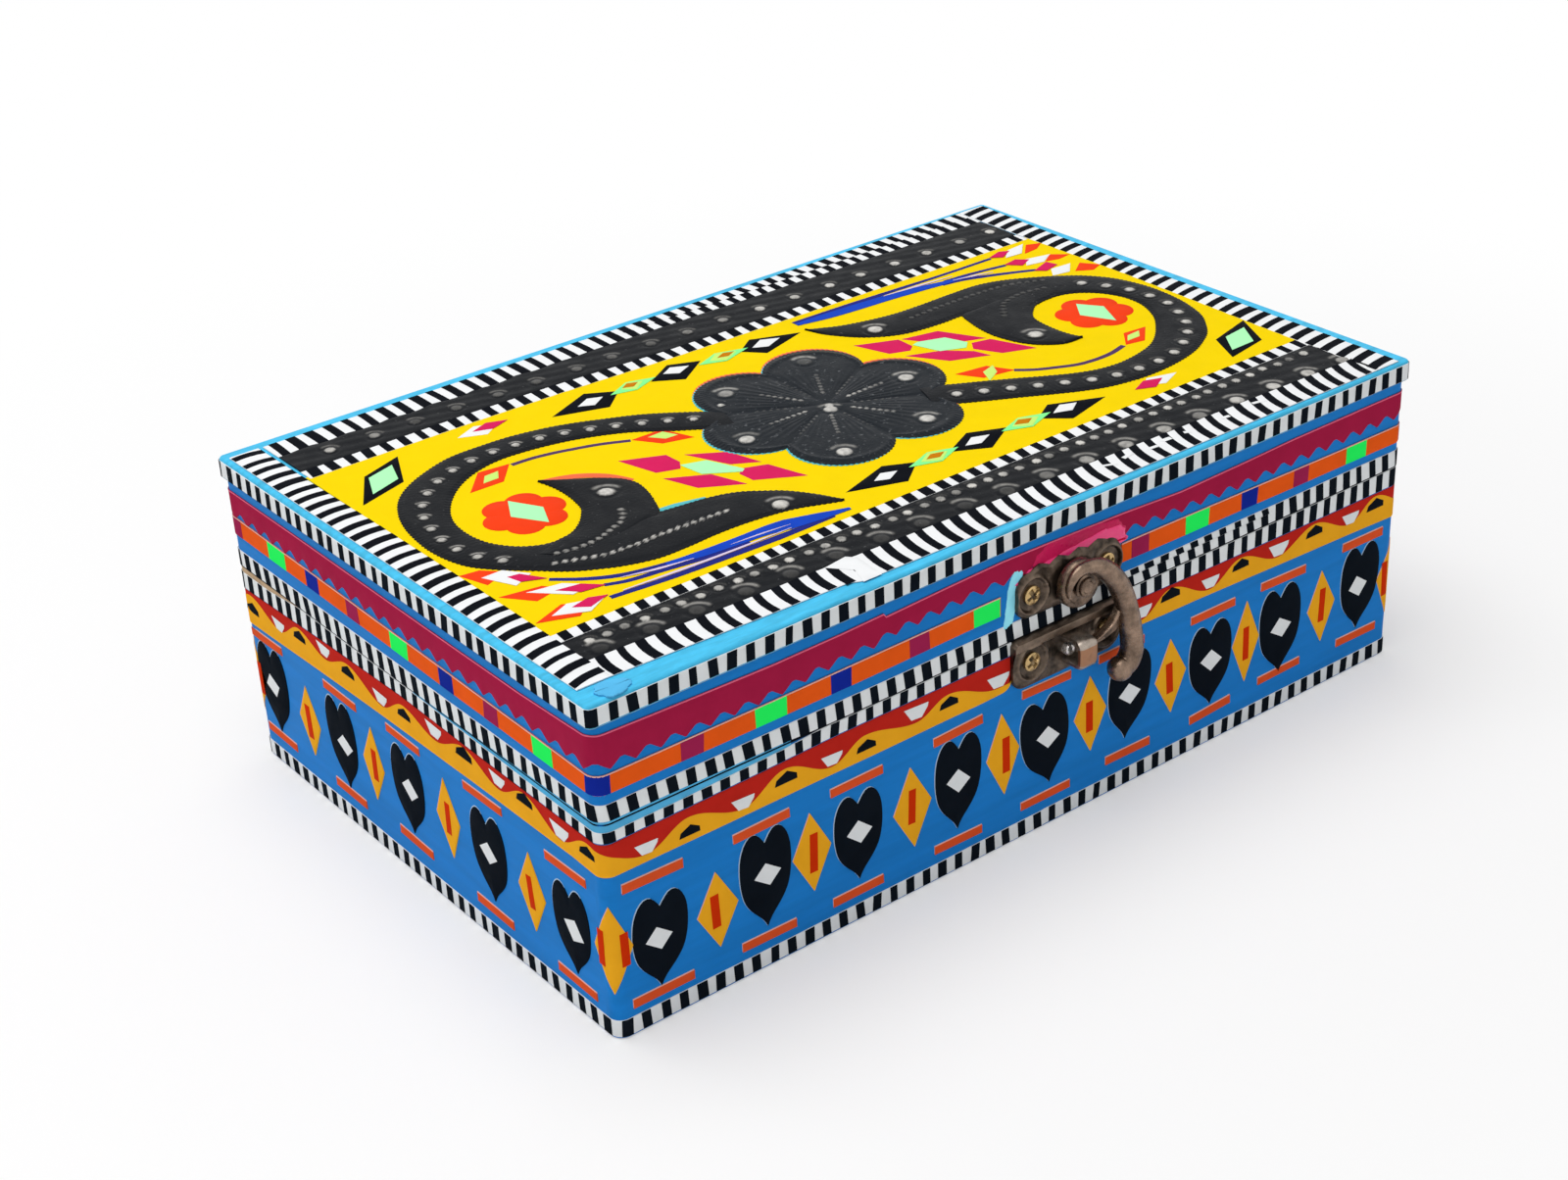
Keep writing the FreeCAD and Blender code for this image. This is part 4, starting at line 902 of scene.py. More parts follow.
def layBorder():
    (left, right), joint = top["ends"], top["joint"]
    lengths = [   # run, edges, lean, arch, pitch
        (topLayTurned, -73.7, 76.5, "leftOuter", "leftInner", lambda y: 0.3 - 0.006 * y, 0.55, 5.1),
        (topLayTurned, -79.6, 78.3, "rightInner", "rightOuter", 0.6, 0.25, 5.05),
        (topLay, left, joint, "backInner", "backOuter", 0.05, 0.1, 5.0),
        (topLay, joint, right, "backInner", "backSplit", 0.1, 0.0, 4.78),
        (topLay, joint, right, "backSplit", "backOuter", -0.1, 0.0, 4.98),
        (topLay, left, right, "frontOuter", "frontInner", lambda x: 0.55 + 0.75 * smoothStep(-60, 20, x),
         -0.5, 5.0)]
    blocks = []
    for lay, start, end, low, high, lean, arch, pitch in lengths:
        edges = topEdge(low), topEdge(high)
        blocks += stripedTape(lay, start, end, *edges, lean, False, borderFoot, pitch, arch)
    # where two lengths of the front tape meet: a white patch, and white bridges across the bars further on
    patch = [(-53.6, -67.2), (-47, -66.2), (-45.2, -68.4), (-46.2, -77.9), (-51.4, -77.9), (-49.4, -72.4)]
    spots = np.array([(x, -72.6) for x in (27.5, 33.2, 41, 47.2, 53.4, 66, 78.2)])
    bridges = scattered(sides(quad(3.6, 1.2)), spots, 0.2, 0.3, 0.4)
    for outline in (sides(patch, 4), bridges):
        blocks.append(cutouts(outline, topLay, 0.08, borderFoot + stripes["tape"] + 0.03, 0.04))
    stripedPiece("topBorder", blocks, "lid", "lid_border_tape", ("topWhite", "topBlack"))
    for key, node in (("stripBack", "lid_strip_back"), ("stripFront", "lid_strip_front")):
        edges = topEdge(key + "Low", 0.05), topEdge(key + "High", 0.05)
        strip = stripedTape(topLay, left, right, *edges, 0.25, foot=borderFoot - 0.04)
        stripedPiece(key, strip, "lid", node, ("topWhite", "topBlack"))


layBorder()

# the yellow sheet runs under both strips and the side borders
x = np.linspace(-115.6, 115.2, 90)
edges = paired(x, topEdge("stripBackLow", 0)(x) + 1.5), paired(x, topEdge("stripFrontHigh", 0)(x) - 1.5)
sheet = sheetGrid(*edges, 30, topLay, flatField(sheetLift))
gridPiece("yellowSheet", [sheet], ["yellow"], "lid", ["lid_top_sheet"])

band = dict(thick=0.3, step=0.36, across=34)


# relief and paleness of many dots over a sheet, sixty rows at a time with the dots near them
def dotField(flat, dots, near=30.0, rows=60):
    relief, worn = np.zeros(flat.shape[:2]), np.zeros(flat.shape[:2])
    for first in range(0, len(flat), rows):
        part = slice(first, first + rows)
        close = dots[np.linalg.norm(dots[:, :2] - flat[part].reshape(-1, 2).mean(0), axis=1) < near]
        if len(close):
            relief[part], worn[part] = pressedDots(flat[part], close)
    return relief, worn


# a pressed band: rows of dots in relief on a thin film that is not quite flat
def layBand(name, node, lowEdge, highEdge, dots, foot=0.0):
    x = np.arange(top["ends"][0] + 0.1, top["ends"][1] - 0.1, band["step"])

    def field(flat, share):
        relief, worn = dotField(flat, dots)
        x, y = flat[..., 0], flat[..., 1]
        sway = 0.07 * np.sin(x / 3.1 + y) * np.sin(y / 1.7 + x / 9)
        ease = 1 - 0.5 * np.abs(2 * share - 1) ** 10
        return np.maximum(0.06, (band["thick"] + sway + relief) * ease), worn

    film = sheetGrid(paired(x, highEdge(x)), paired(x, lowEdge(x)), band["across"], topLay, field, foot)
    gridPiece(name, [film], ["pressedBlack"], "lid", [node], 60)


# a row of dots: places along, the level at both ends, radius, rise, and paleness of crowns and arcs
def dotRow(x, levels, radius, rise, crown, arc):
    y = np.interp(x, (x[0], x[-1]), levels)
    pale = np.broadcast_to(crown, x.shape) * np.clip(1 + dice.normal(0, 0.25, len(x)), 0.4, 1.4)
    x, y = x + dice.normal(0, 0.25, len(x)), y + dice.normal(0, 0.2, len(x))
    return np.stack(np.broadcast_arrays(x, y, radius, rise, pale, arc), -1)


seeds = dotRow(np.arange(-110, 113, 4.85), (-58.4, -60.0), 1.2, 0.24, 0.8, 0.1)
x = np.arange(-109.8, 113, 12.33)
bumps = dotRow(x, (-62.8, -69.6), 2.0, 0.34, 0.06 + 0.6 * smoothStep(-10, 50, x), 0.5)
layBand("bandFront", "lid_band_front", lambda x: topEdge("frontInner")(x) - 0.4,
        lambda x: topEdge("stripFrontLow", 0.05)(x) + 0.2, np.concatenate([seeds, bumps]))
x = np.arange(-103.7, 112, 11.9)
pale = 0.15 + 0.5 * smoothStep(-85, -100, x) + 0.75 * smoothStep(-20, 40, x)
farBumps = dotRow(x, (62.9, 60.2), 1.5, 0.3, pale, 0.25)


# the back band's film laps over the border with a wavy edge at the left
def bandBackHigh(x):
    return topEdge("backInner")(x) + 0.2 + (0.35 + 0.45 * np.sin(x / 1.95)) * smoothStep(0, -40, x)


layBand("bandBack", "lid_band_back", lambda x: topEdge("stripBackHigh", 0.05)(x) - 0.2, bandBackHigh,
        farBumps, 0.16)
print("top borders and bands laid")


# a rim of six lobes: R = d cos f + sqrt(r^2 - (d sin f)^2), with f from each lobe's middle line
def lobedRim(angle, part):
    lean = np.mod(angle + math.pi / 6, math.pi / 3) - math.pi / 6
    across = part["reach"] * np.sin(lean)
    return lean, part["reach"] * np.cos(lean) + np.sqrt(part["lobe"] ** 2 - across ** 2)


# the flower: lobes in polar rings; petals swell, creases sink between them, dots are pressed in
flower = dict(centre=(0.9, -0.6), lobe=13.15, reach=21.8, thick=0.3, swell=0.3, crease=0.2, rings=76,
              steps=760, tooth=0.22, teeth=164, bumps=[(-26.4, -3.6, 0.95, 0.3), (-13.9, 21.5, 0.5, 0.6),
              (12.9, 23.5, 0.12, 0.6), (25.2, -2.3, 0.95, 0.6), (13, -24.6, 1, 0.5), (-13.6, -25.2, 1, 0.4)],
              beads=[0.8, 0.35, 0.6, 0.8, 0.5, 0.75])


def layFlower():
    angle, share = circle(flower["steps"]), np.linspace(0, 1, flower["rings"])[:, None]
    lean, rim = lobedRim(angle, flower)
    rim = rim + flower["tooth"] * (np.abs(np.mod(angle * flower["teeth"] / (2 * math.pi), 1) - 0.5) * 4 - 1)
    radius = share * rim
    midX, midY = flower["centre"]
    x, y = midX + radius * np.cos(angle), midY + radius * np.sin(angle)
    dots = [(*spot[:2], 2.1, 0.4, *spot[2:]) for spot in flower["bumps"]]
    dots += [(-0.4, -3.6, 1.9, 0.3, 0.9, 0.4), (0.8, -1.6, 1.2, 0.3, 0.8, 0), (-18.8, 17, 0.9, 0.3, 1.0, 0)]
    for k, pale in enumerate(flower["beads"]):   # a dotted line down each petal, a finer one at each crease
        for far in np.arange(7.0, 19, 1.75):
            fade = pale * (1.15 - far / 24)
            for turn, *bead in ((0, 0.62, 0.16, fade), (math.pi / 6, 0.45, 0.1, 0.3 * fade)):
                turn += k * math.pi / 3
                dots.append((midX + far * math.cos(turn), midY + far * math.sin(turn), *bead, 0))
    relief, worn = pressedDots(paired(x, y), np.array(dots))
    sink = np.exp(-((np.abs(lean) - math.pi / 6) * radius / 1.1) ** 2) * smoothStep(0.06, 0.25, share)
    swell = flower["swell"] * np.cos(lean * 3) * np.sin(math.pi * share ** 1.3)
    swell = swell + 0.25 * np.exp(-((share - 0.93) / 0.03) ** 2)
    pleats = 0.03 * np.sin(angle * 66) * smoothStep(0.15, 0.4, share) * smoothStep(0.85, 0.6, share)
    height = flower["thick"] + swell - flower["crease"] * sink + relief + pleats
    height = np.maximum(height * (1 - 0.45 * share ** 40), 0.14)
    foot = topLay(x[-1:], y[-1:], np.full_like(x[-1:], sheetLift))
    centre = np.broadcast_to(foot.mean(1, keepdims=True), foot.shape)
    points = np.concatenate([topLay(x, y, sheetLift + height), foot, centre])
    films = [block(points, worn=np.pad(worn, ((0, 2), (0, 0))))]
    for number, shift in ((1, (0.35, 1.0)), (2, (-0.5, -0.1))):   # salmon peeps out behind, cyan at the left
        edge = paired(x[-1], y[-1]) + shift
        films.append(cutouts(edge, topLay, 0.04, sheetLift + 0.03 * number, 0.05, number=number))
    gridPiece("flower", films, ["flowerBlack", "salmon", "cyan"], "lid", ["lid_flower"], 60)


layFlower()

# A paisley: a ribbon that curls round into a leaf, and a horn that grows out of it, as pairs of edge
# points (outer x y, inner x y). bead gives pitch, radius, rise and paleness of crown and arc; under are
# thin films that peep out along an edge.
paisley = dict(step=0.33, across=30, tooth=0.4, thick=0.34, hornLift=0.12)
paisleys = dict(
    left=dict(
        ribbon=[(-20.5, 14.5, -23.5, 4), (-27.5, 20.5, -31, 10), (-35, 26.2, -36.5, 14),
            (-45, 31.5, -44, 20.2), (-55, 35.9, -52, 24.4), (-65, 38.4, -60, 27.2), (-75, 39.2, -70, 29),
            (-85, 38.7, -78, 29), (-93, 35.9, -85.5, 26.7), (-100, 32.1, -91.5, 23),
            (-105.5, 27.1, -96.2, 18.4), (-109.3, 20.9, -99.6, 13.7), (-111.8, 14, -101.8, 8.7),
            (-113.3, 5.3, -102.7, 3), (-113.6, -0.4, -102.6, -1.5), (-112.7, -7.9, -101, -7.4),
            (-111, -12.9, -98.2, -11.6), (-106.8, -18.8, -94, -14.8), (-101, -24.8, -89.5, -16),
            (-96, -29.8, -81.5, -17), (-90, -33.8, -72.5, -19), (-84.2, -36.6, -64.3, -20),
            (-78, -38.4, -58.6, -20.8), (-70, -38.6, -51.1, -22), (-60, -38, -45, -24.2),
            (-50, -38.5, -39.9, -28), (-40, -40.4, -35.5, -32.4), (-34.3, -42.8, -32.4, -37.4),
            (-29.6, -44.8, -29.5, -44.5)],
        horn=[(-97.5, -18, -92.5, -24), (-89.9, -16, -80.5, -25), (-85.5, -15.1, -70.5, -22.5),
            (-82.5, -13.3, -64.3, -20), (-80.2, -11.2, -62, -15.2), (-78.4, -9, -60.6, -11.5),
            (-76.5, -6, -59.5, -7), (-75.5, -1.6, -59.4, -3.2), (-75.1, 2, -60.8, 0.3), (-75, 5.2, -64, 3.8),
            (-75.3, 8.4, -69, 7.7), (-75.7, 10.7, -73, 10.3), (-76.2, 12.4, -75.9, 12.3)],
        beads=[(-28.8, 14.8), (-34.1, 18.4), (-46, 25.2), (-57.6, 30.5), (-70.5, 33), (-83.7, 32.4),
            (-94.7, 28), (-103.5, 19.6), (-108.2, 7.7), (-109.1, -3.9), (-105.5, -14.8), (-101.3, -19.2)],
        bead=(6.4, 1.1, 0.34, 0.85, 0.6),
        lines=[[(-93.5, -21.8), (-88.5, -22.7), (-82.9, -22.4), (-77.9, -20.5), (-73.5, -18.4), (-70, -13)],
            [(-96.3, -25.2), (-90.4, -27.7), (-85.4, -29.6), (-78.5, -30.2), (-68.5, -30.2),
            (-51.6, -31.1)]],
        pale=(0.45, 0.85),
        bumps=[(-67.9, -4), (-42, -36.8)],
        under=[(1, [(-75.6, 12.6), (-70.5, 10.6), (-65.4, 7.4), (-61.2, 2.6), (-58.9, -2)]), (2,
            [(-63.8, -19.3), (-60, -19.7), (-56, -20.5), (-52, -21.3)])]
    ),
    right=dict(
        ribbon=[(20, -19, 24, -8), (26.5, -23.5, 30.6, -12.2), (33, -27.3, 34.6, -14.6),
            (39, -30.7, 39.5, -17.5), (45.2, -34.4, 45.2, -21), (51.5, -37.9, 51.5, -25.1),
            (58, -40.7, 58, -28.9), (64.5, -42.2, 64, -31.3), (71, -42.9, 70.2, -32.2),
            (78, -42.6, 75, -31.9), (85, -41.5, 80, -30.9), (91, -39.7, 85.2, -29.1),
            (96, -37.2, 90.2, -25.7), (100.5, -34.3, 94.6, -21.6), (104.6, -30, 98.4, -17.2),
            (108.4, -24.7, 101, -12.4), (111.2, -17, 102.5, -8), (112.6, -9, 102.8, -3),
            (112.8, -2, 102, 0.8), (111.8, 5, 100, 5), (109.5, 11.6, 96.5, 8.8), (105.5, 17.4, 92.5, 10.9),
            (100, 22.4, 87, 11.6), (93, 27.2, 81.5, 10.8), (86, 30.8, 74, 14), (79, 32.5, 68, 17),
            (71, 32.6, 63, 18.8), (61, 32.4, 57, 18.8), (52, 32.5, 50, 19.2), (45, 33.6, 44, 20.3),
            (39, 35.1, 38.5, 23), (34, 36.9, 34, 26.8), (30.5, 38.8, 31, 30.8), (28, 40, 28.4, 35.3),
            (26.8, 40.7, 26.9, 40.3)],
        horn=[(97, 14, 92, 21), (90, 11.6, 80, 21), (85, 11.2, 70, 20), (81.5, 10.3, 63.1, 18.7),
            (78.5, 8, 61.4, 14), (76.3, 5.7, 60.3, 9), (75, 3, 59.9, 3.5), (74.4, -1, 60.6, -1.6),
            (74.2, -5, 62.2, -6.4), (74.4, -9, 65.3, -10.7), (74.9, -11.5, 69.5, -13.7),
            (75.7, -13.9, 75.4, -14.1)],
        beads=[(27.8, -18.7), (38, -24.5), (48.5, -30.4), (60.7, -36.7), (67.6, -38.5), (74.6, -38.9),
            (82, -38.5), (89.1, -36), (95.1, -32.2), (100.3, -27.5), (104.1, -21), (107.1, -14.8),
            (107.6, -7.9), (106.9, -0.1), (104.1, 7.1), (100.9, 12.7)],
        bead=(6.9, 1.4, 0.34, 0.95, 0.15),
        lines=[[(91, 17), (84, 18.5), (76, 16.5), (70, 10)], [(95, 22), (85, 26), (72, 27), (50, 26.5)]],
        pale=(0.12, 0.12),
        bumps=[(67.3, -4.9), (39.7, 27.2)],
        under=[]
    ))


# dots at an even pitch along a line
def spaced(line, pitch, *rest):
    path = throughPoints(line, 400)
    walk = chordLength(path)
    return [(np.interp(at, walk, path[:, 0]), np.interp(at, walk, path[:, 1]), *rest)
            for at in np.arange(0, walk[-1], pitch)]


def layPaisley(side):
    part = paisleys[side]
    dots = spaced(part["beads"], *part["bead"])
    for line, pale in zip(part["lines"], part["pale"]):
        dots += spaced(line, 2.2, 0.75, 0.2, pale, 0)
    dots = np.array(dots + [(*spot, 2.1, 0.42, 1.0, 0.5) for spot in part["bumps"]])

    def field(flat, share):
        relief, worn = dotField(flat, dots)
        seam = -0.12 * (np.exp(-((share - 0.06) / 0.03) ** 2) + np.exp(-((share - 0.94) / 0.03) ** 2))
        swell = 0.25 * np.sin(math.pi * share)
        sag = 0.03 * np.sin(flat[..., 0] / 2.3) * np.sin(flat[..., 1] / 1.9)
        ease = 1 - 0.5 * np.abs(2 * share - 1) ** 12
        return np.maximum(0.06, (paisley["thick"] + swell + seam + relief + sag) * ease), worn

    films = []
    for key, lift in (("ribbon", 0), ("horn", paisley["hornLift"])):
        edges = ribbonEdges(part[key], paisley["step"], paisley["tooth"])
        films.append(sheetGrid(*edges, paisley["across"], topLay, field, sheetLift + lift))
    widths = (1.2, 2.4, 2.2, 1.2), (1.6, 1.8, 1.4, 0.8)
    for number, line in part["under"]:
        edges = strokeEdges(line, widths[number - 1], 60)
        films.append(sheetGrid(*edges, 3, topLay, flatField(0.12), sheetLift, number))
    gridPiece("paisley" + side.title(), films, ["pressedBlack", "salmon", "cyan"], "lid",
              ["lid_paisley_" + side], 60)


layPaisley("left")
layPaisley("right")
print("flower and paisleys laid")

# rosettes: six scallops with a light green lozenge on each: centre, turn, lozenge
rosette = dict(lobe=4.6, reach=6.0, film=0.12, pair=[((-87.4, 0.9), 0.0, [(-86.9, 8.9), (-82.5, 0.6),
               (-85.8, -6.9), (-90.8, 1.5)]), ((89.6, -3.8), math.pi / 6, [(90.2, 3.7), (94.3, -2.6),
               (89.8, -11.9), (85.6, -2.6)])])


def layRosettes():
    angle = circle(96)
    rim = lobedRim(angle, rosette)[1]
    rings = [paired(rim * np.cos(angle + turn), rim * np.sin(angle + turn)) + centre
             for centre, turn, lozenge in rosette["pair"]]
    lozenges = sides([lozenge for centre, turn, lozenge in rosette["pair"]], 4)
    films = [cutouts(rings, topLay, rosette["film"], sheetLift, 0.06),
             cutouts(lozenges, topLay, 0.08, sheetLift + rosette["film"], 0.06, number=1)]
    gridPiece("rosettes", films, ["scarlet", "mint"], "lid", ["lid_rosettes"])


layRosettes()

# small cut-outs on the yellow sheet, by finish and layer: corners of each as x, y, x, y
small = {
    ("topBlack", 0): [[-113, 30.6, -105, 44, -93.3, 48.4, -99.4, 35.1],
        [94, -49.3, 99.2, -38.6, 113.6, -34.7, 107.5, -46.8],
        [-53.1, 41.3, -39.4, 47.6, -31.9, 42.8, -39.1, 36.3],
        [-22.5, 41.9, -13.4, 47.6, -5.4, 43.8, -15.1, 36.9], [5.6, 41.3, 12.2, 46, 25, 40.4, 10.3, 35.7],
        [-26.6, -41.6, -11.6, -36.6, -4.2, -40.6, -12.2, -46.9],
        [5, -41.7, 15, -36.6, 24.3, -41, 14.1, -46.9], [33, -42.4, 40.3, -38.1, 53.8, -44.5, 39.4, -48.2]],
    ("mint", 1): [[-108.3, 34.1, -104.6, 42.6, -96.8, 45.1, -99.6, 37.3],
        [-46.1, -3.2, -39.9, -5.4, -36.1, -15.4, -37.4, -16.3, -45.2, -10.7],
        [97.2, -46.2, 102.2, -39.2, 110.2, -38.1, 105.3, -46],
        [40.8, 13.2, 43, 13.8, 50, 11.1, 52.2, 4.6, 49.6, 2.2, 43.2, 5.2]],
    ("topWhite", 0): [[-77, 47.2, -70.5, 50.3, -65, 47.7, -70.3, 44],
        [65.5, -46.3, 69, -43.6, 77, -46.2, 70.5, -49]],
    ("rose", 1): [[-72.4, 47.7, -67.2, 49.9, -62.1, 47.7, -67.6, 45.7],
        [62, -46.6, 67.2, -44.2, 72, -46.2, 67, -49]],
    ("scarlet", 0): [[-91, 18.8, -83.8, 27, -75.6, 25.9, -81.8, 18.6],
        [-46.4, 16.5, -37.4, 16.4, -34.2, 7.2, -42, 9.6],
        [-114.2, -44.7, -105.5, -41.3, -100.5, -44.5, -105.2, -48.4],
        [-113.8, -29.4, -103.9, -31.4, -101.5, -35, -108.5, -36.6],
        [-115, -15, -110.2, -15.8, -106, -20.4, -112.5, -23],
        [80.3, -25, 85.3, -19.1, 92.4, -20, 85.9, -26.3], [36.2, -8.5, 45.5, -10, 49, -17, 40, -15.2],
        [105.9, 40.7, 110.8, 45.6, 114.9, 43.7, 111, 41.2], [106, 32.3, 110.4, 35.6, 114.6, 31.6, 110, 31],
        [106.8, 21.3, 112, 25, 115.2, 20, 111, 18.4]],
    ("pistachio", 1): [[-86, 20.9, -83.7, 24.1, -79.8, 24.3, -81.8, 20.9],
        [-42.6, 14.9, -38.1, 15.1, -36.4, 11, -39.9, 11.2],
        [82.4, -23.5, 84.9, -21, 89.3, -20.7, 86.8, -23.5],
        [39.9, -17.6, 42.2, -12.4, 46.8, -11, 44.9, -14.8]],
    ("rose", 0): [[-55.6, 9, -45.2, 3.8, -45, -1.6, -47.1, -4.8, -52.7, -2.6],
        [-41.9, 0.9, -33.3, -5.1, -30.8, -15.1, -37.1, -11],
        [-53.3, -6.3, -43.6, -12.2, -40.5, -22.2, -50.2, -16],
        [-38.6, -16.6, -36.1, -14.8, -30.5, -17.2, -27.4, -28.5, -38.3, -21.6],
        [29.5, 23.7, 40.5, 18.6, 40.3, 12.8, 38, 10.9, 32.7, 13.1],
        [41.2, 18.2, 51.6, 15.8, 57.6, 3.4, 47, 8], [34.8, 9.1, 44, 5.2, 49.6, -0.8, 50.9, -5.8, 40.9, -1.2],
        [52.7, 3.6, 58, 2.2, 62.6, -10.5, 54, -6.8, 50.4, 0.4]],
    ("topWhite", 1): [[-109.9, -44.4, -104.6, -42, -96.5, -45, -102.4, -48.3],
        [-108.2, -31.8, -100, -33.5, -95.5, -38.3, -101, -39.5],
        [-111.8, -19.3, -106.5, -19.3, -102.5, -25, -108, -27.6],
        [99.8, 42, 104.2, 46, 110.6, 46.6, 105.5, 41.5], [100, 33.6, 103, 37.4, 110.6, 35.4, 105.5, 32.4],
        [100, 23, 103, 27, 109.8, 26.4, 105.4, 22], [-45, 41.9, -40.6, 44.4, -36.9, 42.6, -41.2, 39.8],
        [-17.5, 43.5, -13.8, 45.7, -9.5, 43.2, -14.1, 41], [9.4, 41, 14.1, 43.8, 18.8, 41.3, 13.1, 38.8],
        [-18.1, -41.6, -14.4, -39.4, -10.6, -41.1, -14.7, -43.3],
        [10, -41.9, 14.1, -39.4, 18.4, -41.2, 13.8, -43.4],
        [37.8, -42.8, 42.2, -40.3, 46.3, -42.2, 42.5, -44.7]],
    ("rose", 2): [[-104.6, -44.2, -99.6, -42.9, -95.5, -44.8, -101.4, -46.8],
        [-103, -35.4, -97.1, -36.6, -93.3, -40.7, -99.2, -39.8],
        [-107.4, -22.9, -104.6, -23.5, -101.1, -29.4, -106.4, -26.8],
        [96.5, 45.2, 101.4, 46.8, 104.2, 45.2, 99.6, 42.8],
        [95.9, 38.3, 100.8, 39.2, 103.6, 36.4, 99.3, 34.4],
        [98.8, 29.2, 105.6, 31.8, 106.6, 28.2, 101.3, 26.8]],
    ("lime", 1): [[-35, 42, -27.6, 45.9, -20, 43.3, -28, 40.1], [-7.5, 41.7, 0, 44.9, 8.7, 41.9, -0.4, 38.9],
        [-7.5, -41.6, 0.9, -38.4, 8.4, -41.2, 0.6, -44.4],
        [21.6, -41.9, 29.7, -38.9, 37.8, -41.9, 29.1, -45]],
    ("pistachio", 2): [[-31, 42.8, -27.7, 45.6, -24, 43.4, -28, 40.4],
        [-4, 41.7, 0.2, 44.6, 5, 42, -0.2, 39.2], [-3.6, -41.5, 0.9, -38.7, 4.9, -41.3, 0.7, -44.1],
        [25.2, -41.8, 29.6, -39.2, 33.9, -41.8, 29.2, -44.7]],
    ("tan", 3): [[-30.4, 43.3, -28, 44.9, -25.3, 43.7, -27.7, 42.1],
        [-1.4, 41.9, 1.6, 43.4, 4.4, 42.3, 1.5, 40.8], [-1.9, -41.4, 0.7, -39.9, 4.1, -41, 1.4, -42.6],
        [26.2, -41.4, 28.8, -39.9, 32, -41.5, 29.4, -43]],
}
# curved strips: finish, layer, widths along it, line
curves = [
    ("plum", 0, (1.4, 1.4), [(-75.5, 25), (-70, 24.7), (-65, 23.7), (-60, 22.2), (-53.6, 19.9),
        (-46.7, 16.4)]),
    ("sheaf", 0, (1.3, 1.6, 1.8, 2.4), [(-101.1, -30), (-95, -35.3), (-90, -38.4), (-80, -41.5),
        (-70, -43.2)]),
    ("sheaf", 0, (1.3, 1.6, 1.8, 1.6), [(-93.6, -40.4), (-90, -41.9), (-80, -43.6), (-70, -45.1),
        (-58, -46)]),
    ("sheaf", 0, (1.5, 1.7, 1.9, 2.2, 1.2), [(-95.8, -46), (-80, -47.6), (-65, -48.3), (-50, -48.7),
        (-36, -48.9)]),
    ("royal", 1, (1.4, 2.8, 3.2, 3.8, 5.0, 3.4, 1.0), [(-78, -42), (-70, -43.2), (-60, -43.9), (-50, -44.5),
        (-42, -46.2), (-36, -47.6), (-31, -48.6)]),
    ("lavender", 2, (0.2, 0.9, 0.2), [(-89, -40.2), (-82, -42.2), (-72, -44)]),
    ("lavender", 2, (0.3, 0.9, 0.7, 0.2), [(-92, -45.4), (-75, -46.5), (-60, -47), (-47, -47.1)]),
    ("lavender", 2, (0.1, 0.5, 0.1), [(-62, -44.3), (-54, -44.8), (-46, -45.6)]),
    ("plum", 0, (1.5, 1.5), [(48.7, -16.9), (52.8, -20.4), (57.8, -23.2), (63.4, -25.7), (68.4, -26.4),
        (73.4, -26.3), (79.5, -24.9)]),
    ("sheaf", 0, (2.4, 2.2, 1.6, 1.2, 1.2), [(27.5, 46.2), (45, 46), (60, 45.6), (78, 44.9), (96.5, 44.7)]),
    ("sheaf", 0, (1.8, 1.4, 1.3), [(76, 40.6), (84, 40), (90, 39.1), (96, 38)]),
    ("sheaf", 0, (2.2, 1.8, 1.6, 1.4), [(74, 39.8), (80, 38.5), (86, 36.1), (92.2, 33.3), (99.7, 29.5)]),
    ("royal", 1, (1.6, 3.4, 3.8, 3.6, 3.4, 2.6, 1.0), [(27.5, 45.2), (40, 43.9), (50, 43.2), (60, 42.4),
        (70, 41), (77, 39.8), (82, 39.2)]),
    ("lavender", 2, (0.2, 0.9, 0.2), [(57, 44.2), (68, 43.3), (80, 42.1)]),
    ("lavender", 2, (0.2, 0.9, 0.2), [(78, 39.6), (84, 38.2), (90, 36.4)]),
]
smallFilm = 0.07


def laySmall():
    names = sorted({name for name, layer in small})
    films = []
    for (name, layer), outlines in small.items():
        foot, number = sheetLift + layer * smallFilm, names.index(name)
        for corners in outlines:
            outline = sides(np.reshape(corners, (-1, 2)), 4)
            films.append(cutouts(outline, topLay, smallFilm, foot, 0.08, number=number))
    gridPiece("smallCutouts", films, names, "lid")
    names = sorted({name for name, *rest in curves})
    films = []
    for name, layer, width, line in curves:
        edges, foot = strokeEdges(line, width, 70), sheetLift + layer * smallFilm
        films.append(sheetGrid(*edges, 3, topLay, flatField(smallFilm), foot, names.index(name)))
    gridPiece("curvedStrips", films, names, "lid")


laySmall()
print("small cut-outs laid")

